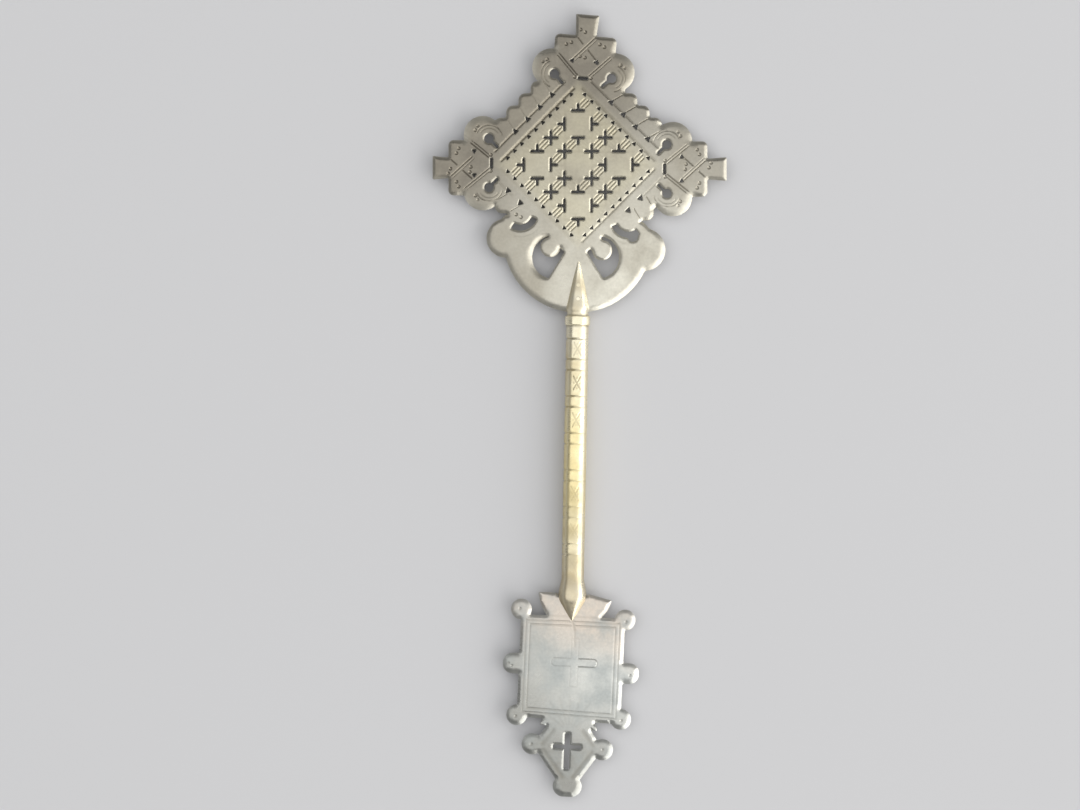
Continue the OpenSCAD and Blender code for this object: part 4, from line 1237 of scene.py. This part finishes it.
def pin_points(place):
    """Points of one pin: rings out over its front end and in again over its rear end, then both middles."""
    radius = PIN_R * np.concatenate([PIN_RADII, PIN_RADII[::-1]])[:, None]
    below = np.concatenate([PIN_BELOW, PIN_BELOW[::-1]])[:, None]
    turn = even_turns(PIN_SIDES)
    x, y = radius * np.cos(turn), place + radius * np.sin(turn)
    skin_depth = bar_reach(np.full_like(y, np.pi / 2), y - GRIP_START)
    rings = np.stack([AXIS_X + x, y, AXIS_Z + PIN_ENDS[:, None] * (skin_depth - below)], axis=-1)
    middle = skin_depth[0].mean()
    return np.concatenate([rings.reshape(-1, 3), [(AXIS_X, place, AXIS_Z + s * middle) for s in (1, -1)]])


def make_pins(name, places):
    """Two round bars across a fork in one mesh, dirty along the ring where they meet the prong."""
    rings = len(PIN_ENDS)
    one = tube_faces(rings, PIN_SIDES).tolist() + end_faces(rings * PIN_SIDES, PIN_SIDES).tolist()
    pins = [pin_points(place) for place in places]
    faces = [[corner + k * len(pins[0]) for corner in face] for k in range(len(pins)) for face in one]
    points = np.concatenate(pins)
    aside = np.abs(points[:, 1][:, None] - places).min(axis=1)
    dirty = np.hypot(points[:, 0] - AXIS_X, aside) > PIN_RING * PIN_R
    none = np.zeros(len(points))
    return make_piece(name, points, faces, np.where(dirty, PIN_DIRT, 0.0), none, none)


head_pins = make_pins("head_pins_of_cross", HEAD_PINS)
tablet_pins = make_pins("tablet_pins_of_cross", TABLET_PINS)
print("pins:", len(head_pins.data.vertices) + len(tablet_pins.data.vertices), "points")

# %% [markdown]
# White metal and brass share their way of ageing: cloudy tarnish, fine wiping scratches, dirt in the
# cuts and bright worn edges. The same layers also paint shade and a highlight. These effects are one node
# group with named inputs, used by each finish.
# Its inputs are the colours and shares that differ from one metal to the next.

# %% The group for ageing and painted light, and its sockets
def new_group(name, inputs, outputs):
    """An empty shader node group with named sockets, its input and its output node."""
    group = bpy.data.node_groups.new(name, "ShaderNodeTree")
    for label, kind, value in inputs:
        socket = group.interface.new_socket(label, in_out="INPUT", socket_type=kind)
        socket.default_value = value
    for label, kind in outputs:
        group.interface.new_socket(label, in_out="OUTPUT", socket_type=kind)
    return group, group.nodes.new("NodeGroupInput"), group.nodes.new("NodeGroupOutput")


ageing_and_painted_light, age_in, age_out = new_group(
    "aged_metal_and_painted_light",
    [
        ("Bright", "NodeSocketColor", (0.7, 0.66, 0.55, 1)),
        ("Tarnish", "NodeSocketColor", (0.45, 0.42, 0.36, 1)),
        ("Warm", "NodeSocketColor", (0.72, 0.6, 0.36, 1)),
        ("Ends", "NodeSocketColor", (0.7, 0.66, 0.55, 1)),
        ("Middle", "NodeSocketVector", (0.0, 0.0, 0.0)),
        ("Ends from", "NodeSocketFloat", 1.0),
        ("Ends to", "NodeSocketFloat", 2.0),
        ("Dirt and shade", "NodeSocketColor", (0.14, 0.115, 0.075, 1)),
        ("Cloud size", "NodeSocketFloat", 60.0),
        ("Tarnish share", "NodeSocketFloat", 0.5),
        ("Dirt and shade share", "NodeSocketFloat", 0.4),
        ("Smoothness", "NodeSocketFloat", 0.35),
    ],
    [("Colour", "NodeSocketColor"), ("Roughness", "NodeSocketFloat"), ("Height", "NodeSocketFloat")],
)
asked = age_in.outputs
print("ageing group:", len(ageing_and_painted_light.interface.items_tree), "sockets")

# %% [markdown]
# Tarnish, dents, pits and scratches are noise at four sizes. It is read at the object's own coordinates, in
# metres, so that it stays on the metal. Scratches are noise that is stretched along the way of wiping. Dirt
# with painted shade, wear, and warmth with a painted highlight come from the attributes kept on the points.

# %% What the group reads
CLOUD_DETAIL, CLOUD_ROUGHNESS = 6.0, 0.6
BROAD_SCALE, BROAD_DETAIL = 22.0, 3.0
GRAIN_SCALE, GRAIN_DETAIL = 900.0, 4.0
WIPE_TURN, WIPE_STRETCH, WIPE_DETAIL = (0.2, 0.1, 0.6), (90.0, 1400.0, 600.0), 3.0


def add_node(tree, kind, links=(), **settings):
    """A node with settings, whose inputs are linked or set in turn by name or number."""
    made = tree.nodes.new("ShaderNode" + kind)
    for key, value in settings.items():
        setattr(made, key, value)
    for key, value in links:
        socket = made.inputs[key]
        if isinstance(value, bpy.types.NodeSocket):
            tree.links.new(value, socket)
        else:
            socket.default_value = value
    return made


def noise(tree, place, scale, detail, **others):
    """Cloudy noise at a place, from nothing to one."""
    links = [("Vector", place), ("Scale", scale), ("Detail", detail), *others.items()]
    return add_node(tree, "TexNoise", links).outputs["Fac"]


def kept_on_points(tree, label):
    """The value of an attribute at each point."""
    return add_node(tree, "Attribute", attribute_name=label).outputs["Fac"]


spot = add_node(ageing_and_painted_light, "TexCoord").outputs["Object"]
stretch = add_node(ageing_and_painted_light, "Mapping", [("Vector", spot), ("Rotation", WIPE_TURN), ("Scale", WIPE_STRETCH)])
clouds = noise(ageing_and_painted_light, spot, asked["Cloud size"], CLOUD_DETAIL, Roughness=CLOUD_ROUGHNESS)
broad = noise(ageing_and_painted_light, spot, BROAD_SCALE, BROAD_DETAIL)
grain = noise(ageing_and_painted_light, spot, GRAIN_SCALE, GRAIN_DETAIL)
wiping = noise(ageing_and_painted_light, stretch.outputs[0], 1.0, WIPE_DETAIL)
grime_and_shade_here, wear_here, warmth_and_highlight_here = (kept_on_points(ageing_and_painted_light, label) for label in ("grime_and_shade", "wear", "warmth_and_highlight"))
print("ageing group:", len(ageing_and_painted_light.nodes), "nodes that read")

# %% [markdown]
# The colour is built in layers. Far from the middle of a piece it takes the Ends colour: on the head this
# is painted shade for light falling off away from the lamp, with some tarnish. Where hands rub it is warm,
# tarnish clouds lie over both, worn edges shine through, and dirt with painted shade comes last.

# %% Colour of aged metal, with painted shade and highlight
CLOUD_RANGE = (0.42, 0.68)
WARM_RANGE = (0.35, 0.6, 0.6, 1.0)
UNEVEN_RANGE = (0.3, 0.7, -0.008, 0.008)
FLECK_RANGE = (0.35, 0.65, 0.95, 1.03)
DIRT_AND_SHADE_RANGE = (0.3, 0.6, 0.6, 1.0)
EDGE_POWER, EDGE_SHARE = 2.0, 0.5
# A Mix node's sockets for colours share their names with others, so they go by number.
MIX_A, MIX_B, MIX_RESULT = 6, 7, 2


def maths(tree, operation, a, b):
    """The result of one operation on two values."""
    return add_node(tree, "Math", [(0, a), (1, b)], operation=operation).outputs[0]


def scaled(tree, value, low, high, start=0.0, end=1.0):
    """A value moved from one range to another and held there."""
    links = [("Value", value), ("From Min", low), ("From Max", high), ("To Min", start), ("To Max", end)]
    return add_node(tree, "MapRange", links).outputs["Result"]


def mix_colour(tree, share, a, b, blend="MIX"):
    """The result of mixing two colours by a share."""
    links = [("Factor", share), (MIX_A, a), (MIX_B, b)]
    return add_node(tree, "Mix", links, data_type="RGBA", blend_type=blend).outputs[MIX_RESULT]


tarnish_mask = maths(ageing_and_painted_light, "MULTIPLY", scaled(ageing_and_painted_light, clouds, *CLOUD_RANGE), asked["Tarnish share"])
warm_and_highlight_mask = maths(ageing_and_painted_light, "MULTIPLY", warmth_and_highlight_here, scaled(ageing_and_painted_light, broad, *WARM_RANGE))
# Far from the Middle: on the head painted shade with some tarnish, on the tablet darker towards its edges,
# on the brass greyer at the ends.
apart = add_node(ageing_and_painted_light, "VectorMath", [(0, spot), (1, asked["Middle"])], operation="DISTANCE")
from_middle = maths(ageing_and_painted_light, "ADD", apart.outputs["Value"], scaled(ageing_and_painted_light, broad, *UNEVEN_RANGE))
ends_mask = scaled(ageing_and_painted_light, from_middle, asked["Ends from"], asked["Ends to"])
edge_mask = maths(ageing_and_painted_light, "MULTIPLY", maths(ageing_and_painted_light, "POWER", wear_here, EDGE_POWER), EDGE_SHARE)
fleck = scaled(ageing_and_painted_light, grain, *FLECK_RANGE)
fleck_grey = add_node(ageing_and_painted_light, "CombineColor", [(0, fleck), (1, fleck), (2, fleck)]).outputs[0]
# The dirt colour lies in the cuts as dirt, and on the bar and collar also as painted shade.
dirt_and_shade_mask = maths(ageing_and_painted_light, "MULTIPLY", grime_and_shade_here, scaled(ageing_and_painted_light, grain, *DIRT_AND_SHADE_RANGE))
dirt_and_shade_mask = maths(ageing_and_painted_light, "MULTIPLY", dirt_and_shade_mask, asked["Dirt and shade share"])
colour = mix_colour(ageing_and_painted_light, ends_mask, asked["Bright"], asked["Ends"])
colour = mix_colour(ageing_and_painted_light, warm_and_highlight_mask, colour, asked["Warm"])
colour = mix_colour(ageing_and_painted_light, tarnish_mask, colour, asked["Tarnish"])
colour = mix_colour(ageing_and_painted_light, edge_mask, colour, asked["Bright"])
colour = mix_colour(ageing_and_painted_light, 1.0, colour, fleck_grey, "MULTIPLY")
colour = mix_colour(ageing_and_painted_light, dirt_and_shade_mask, colour, asked["Dirt and shade"])
ageing_and_painted_light.links.new(colour, age_out.inputs["Colour"])
print("ageing group:", len(ageing_and_painted_light.nodes), "nodes so far")

# %% [markdown]
# Clouds and scratches also change how sharply the metal mirrors, and dirt makes it dull. Slow dents, fine
# pits and scratches are a height for a Bump node, which stays in each material.

# %% Roughness and height of aged metal
CLOUD_DULL, WIPE_DULL, DIRT_DULL = (0.35, 0.7, -0.06, 0.12), (0.3, 0.7, -0.05, 0.06), 0.3
DENT_HEIGHT, WIPE_HEIGHT, PIT_HEIGHT = 1.2, 0.05, 0.12
dull = maths(ageing_and_painted_light, "ADD", scaled(ageing_and_painted_light, clouds, *CLOUD_DULL), asked["Smoothness"])
dull = maths(ageing_and_painted_light, "ADD", dull, scaled(ageing_and_painted_light, wiping, *WIPE_DULL))
dull = maths(ageing_and_painted_light, "ADD", dull, maths(ageing_and_painted_light, "MULTIPLY", dirt_and_shade_mask, DIRT_DULL))
height = maths(ageing_and_painted_light, "MULTIPLY", wiping, WIPE_HEIGHT)
height = maths(ageing_and_painted_light, "ADD", height, maths(ageing_and_painted_light, "MULTIPLY", clouds, PIT_HEIGHT))
height = maths(ageing_and_painted_light, "ADD", height, maths(ageing_and_painted_light, "MULTIPLY", broad, DENT_HEIGHT))
ageing_and_painted_light.links.new(dull, age_out.inputs["Roughness"])
ageing_and_painted_light.links.new(height, age_out.inputs["Height"])
print("ageing group:", len(ageing_and_painted_light.nodes), "nodes")

# %% [markdown]
# Each finish is the same group with its own colours. The head has gone greyer than the tablet, and the
# brass of the grip is rubbed yellow by hands. Collar and pins are of the same brass.

# %% The finishes
METALLIC, BUMP_STRENGTH, BUMP_DISTANCE = 0.9, 0.35, 0.0006


def metal_finish(name, values):
    """A metal material that takes its colour, roughness and bump from the ageing group."""
    material = bpy.data.materials.new(name)
    material.use_nodes = True
    tree = material.node_tree
    shader = tree.nodes["Principled BSDF"]
    age = tree.nodes.new("ShaderNodeGroup")
    age.node_tree = ageing_and_painted_light
    for label, value in values.items():
        age.inputs[label].default_value = value
    relief = [("Height", age.outputs["Height"]), ("Strength", BUMP_STRENGTH), ("Distance", BUMP_DISTANCE)]
    bump = add_node(tree, "Bump", relief)
    shader.inputs["Metallic"].default_value = METALLIC
    tree.links.new(age.outputs["Colour"], shader.inputs["Base Color"])
    tree.links.new(age.outputs["Roughness"], shader.inputs["Roughness"])
    tree.links.new(bump.outputs["Normal"], shader.inputs["Normal"])
    return material


# The head's Ends colour is painted shade with some tarnish: the head darkens away from its lower right,
# where the lamp stands.
head_finish = metal_finish("head_white_metal", {
    "Bright": (0.70, 0.675, 0.58, 1), "Tarnish": (0.36, 0.33, 0.265, 1), "Warm": (0.60, 0.55, 0.385, 1),
    "Ends": (0.215, 0.195, 0.16, 1), "Middle": (0.03, 0.042, 0.0), "Ends from": 0.02, "Ends to": 0.1,
    "Cloud size": 50.0, "Tarnish share": 0.6, "Dirt and shade share": 0.2, "Smoothness": 0.33})
tablet_finish = metal_finish("tablet_white_metal", {
    "Bright": (0.69, 0.695, 0.655, 1), "Tarnish": (0.39, 0.415, 0.405, 1), "Warm": (0.66, 0.585, 0.50, 1),
    "Ends": (0.32, 0.317, 0.29, 1), "Middle": (0.02, -0.111, 0.0), "Ends from": 0.004, "Ends to": 0.052,
    "Cloud size": 60.0, "Tarnish share": 0.85, "Dirt and shade share": 0.3, "Smoothness": 0.33})
bar_finish = metal_finish("grip_brass", {
    "Bright": (0.88, 0.82, 0.645, 1), "Tarnish": (0.56, 0.43, 0.19, 1), "Warm": (0.95, 0.81, 0.41, 1),
    "Ends": (0.66, 0.595, 0.46, 1), "Middle": (0.0, 0.02, 0.0), "Ends from": 0.05, "Ends to": 0.095,
    "Cloud size": 90.0, "Tarnish share": 0.38, "Dirt and shade share": 0.6, "Smoothness": 0.3})
for piece, finish, replaced, slot in (
    (head, head_finish, "head_plate", "white_metal"),
    (tablet, tablet_finish, "tablet_plate", "white_metal"),
    (bar, bar_finish, "shaft", "shaft_brass"),
    (collar, bar_finish, "upper_collar", "shaft_brass"),
    (head_pins, bar_finish, "head_rivets", "rivet_brass"),
    (tablet_pins, bar_finish, "tablet_rivets", "rivet_brass"),
):
    piece.data.materials.append(finish)
    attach(piece, "root")
    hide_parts(replaced)
print("finishes:", [m.name for m in (head_finish, tablet_finish, bar_finish)])

# %% [markdown]
# The cross lies on its back on a pale floor. A large soft lamp stands well off to the lower right, as a
# window would, so that edges on that side are bright and cuts are shaded. A weaker one hangs overhead for
# the flats to mirror, and a dim even world fills the shadows.

# %% The floor
FLOOR_HALF, FLOOR_COLOUR = 8.0, (0.57, 0.57, 0.58, 1)
FLOOR_ROUGHNESS, FLOOR_SPECULAR = 0.9, 0.1


def floor_finish():
    """A matt pale grey."""
    material = bpy.data.materials.new("pale_floor")
    material.use_nodes = True
    shader = material.node_tree.nodes["Principled BSDF"]
    shader.inputs["Base Color"].default_value = FLOOR_COLOUR
    shader.inputs["Roughness"].default_value = FLOOR_ROUGHNESS
    shader.inputs["Specular IOR Level"].default_value = FLOOR_SPECULAR
    return material


floor_mesh = bpy.data.meshes.new("floor")
floor_corners = [(FLOOR_HALF * x, FLOOR_HALF * y, 0.0) for x, y in ((-1, -1), (1, -1), (1, 1), (-1, 1))]
floor_mesh.from_pydata(floor_corners, [], [(0, 1, 2, 3)])
floor = bpy.data.objects.new("floor", floor_mesh)
floor.data.materials.append(floor_finish())
bpy.context.scene.collection.objects.link(floor)
print("floor:", 2 * FLOOR_HALF, "m wide")

# %% The light
WINDOW_PLACE, WINDOW_AIM, WINDOW_SIZE = (3.75, -1.65, 1.9), (0, 0, 0.1), (9.0, 3.9)
WINDOW_GLOW, WINDOW_COLOUR = 2.5, (1.0, 0.99, 0.97)
OVERHEAD_PLACE, OVERHEAD_AIM, OVERHEAD_SIZE = (-0.6, 0.25, 1.9), (-0.6, 0.25, 0), (4.8, 3.4)
OVERHEAD_GLOW, OVERHEAD_COLOUR = 0.95, (1.0, 1.0, 1.0)
WORLD_GLOW, WORLD_COLOUR = 0.25, (0.98, 0.99, 1.0, 1)


def lamp(name, place, aim, size, glow, colour):
    """A soft oblong lamp at a place, turned towards its aim; its glow is light per area and direction."""
    light = bpy.data.lights.new(name, "AREA")
    light.shape = "RECTANGLE"
    light.size, light.size_y = size
    light.color = colour
    light.energy = glow * np.pi * size[0] * size[1]
    made = bpy.data.objects.new(name, light)
    made.location = place
    made.rotation_euler = (Vector(aim) - Vector(place)).to_track_quat("-Z", "Y").to_euler()
    bpy.context.scene.collection.objects.link(made)
    return made


lamps = [
    lamp("window", WINDOW_PLACE, WINDOW_AIM, WINDOW_SIZE, WINDOW_GLOW, WINDOW_COLOUR),
    lamp("overhead", OVERHEAD_PLACE, OVERHEAD_AIM, OVERHEAD_SIZE, OVERHEAD_GLOW, OVERHEAD_COLOUR),
]
world = bpy.data.worlds.new("studio")
world.use_nodes = True
background = world.node_tree.nodes["Background"]
background.inputs["Color"].default_value = WORLD_COLOUR
background.inputs["Strength"].default_value = WORLD_GLOW
bpy.context.scene.world = world
bpy.context.scene.view_settings.view_transform = "Standard"
print("lamps:", [made.name for made in lamps])

# %% [markdown]
# The camera looks straight down, as in the photograph. Its place follows from the pixel that the middle of
# the cross has there, from the millimetres of one pixel, and from the slight lean of the cross.

# %% The camera
PHOTO_W, PHOTO_H = 1080, 810
CROSS_PX, LEAN = np.array([575.1, 405.5]), np.radians(1.08)
MM_PER_PX, LENS, SENSOR = 0.4342, 85.0, 36.0
view_w = PHOTO_W * MM_PER_PX * MM
across, down = (np.array([PHOTO_W, PHOTO_H]) / 2 - CROSS_PX) * MM_PER_PX * MM
eye_x, eye_y = turned([[across, -down]], LEAN)[0]
camera_data = bpy.data.cameras.new("camera")
camera_data.lens, camera_data.sensor_width = LENS, SENSOR
camera = bpy.data.objects.new("camera", camera_data)
camera.location = (eye_x, eye_y, AXIS_Z * MM + view_w * LENS / SENSOR)
camera.rotation_euler = (0, 0, LEAN)
bpy.context.scene.collection.objects.link(camera)
bpy.context.scene.camera = camera
print("camera at", [round(x, 3) for x in camera.location])
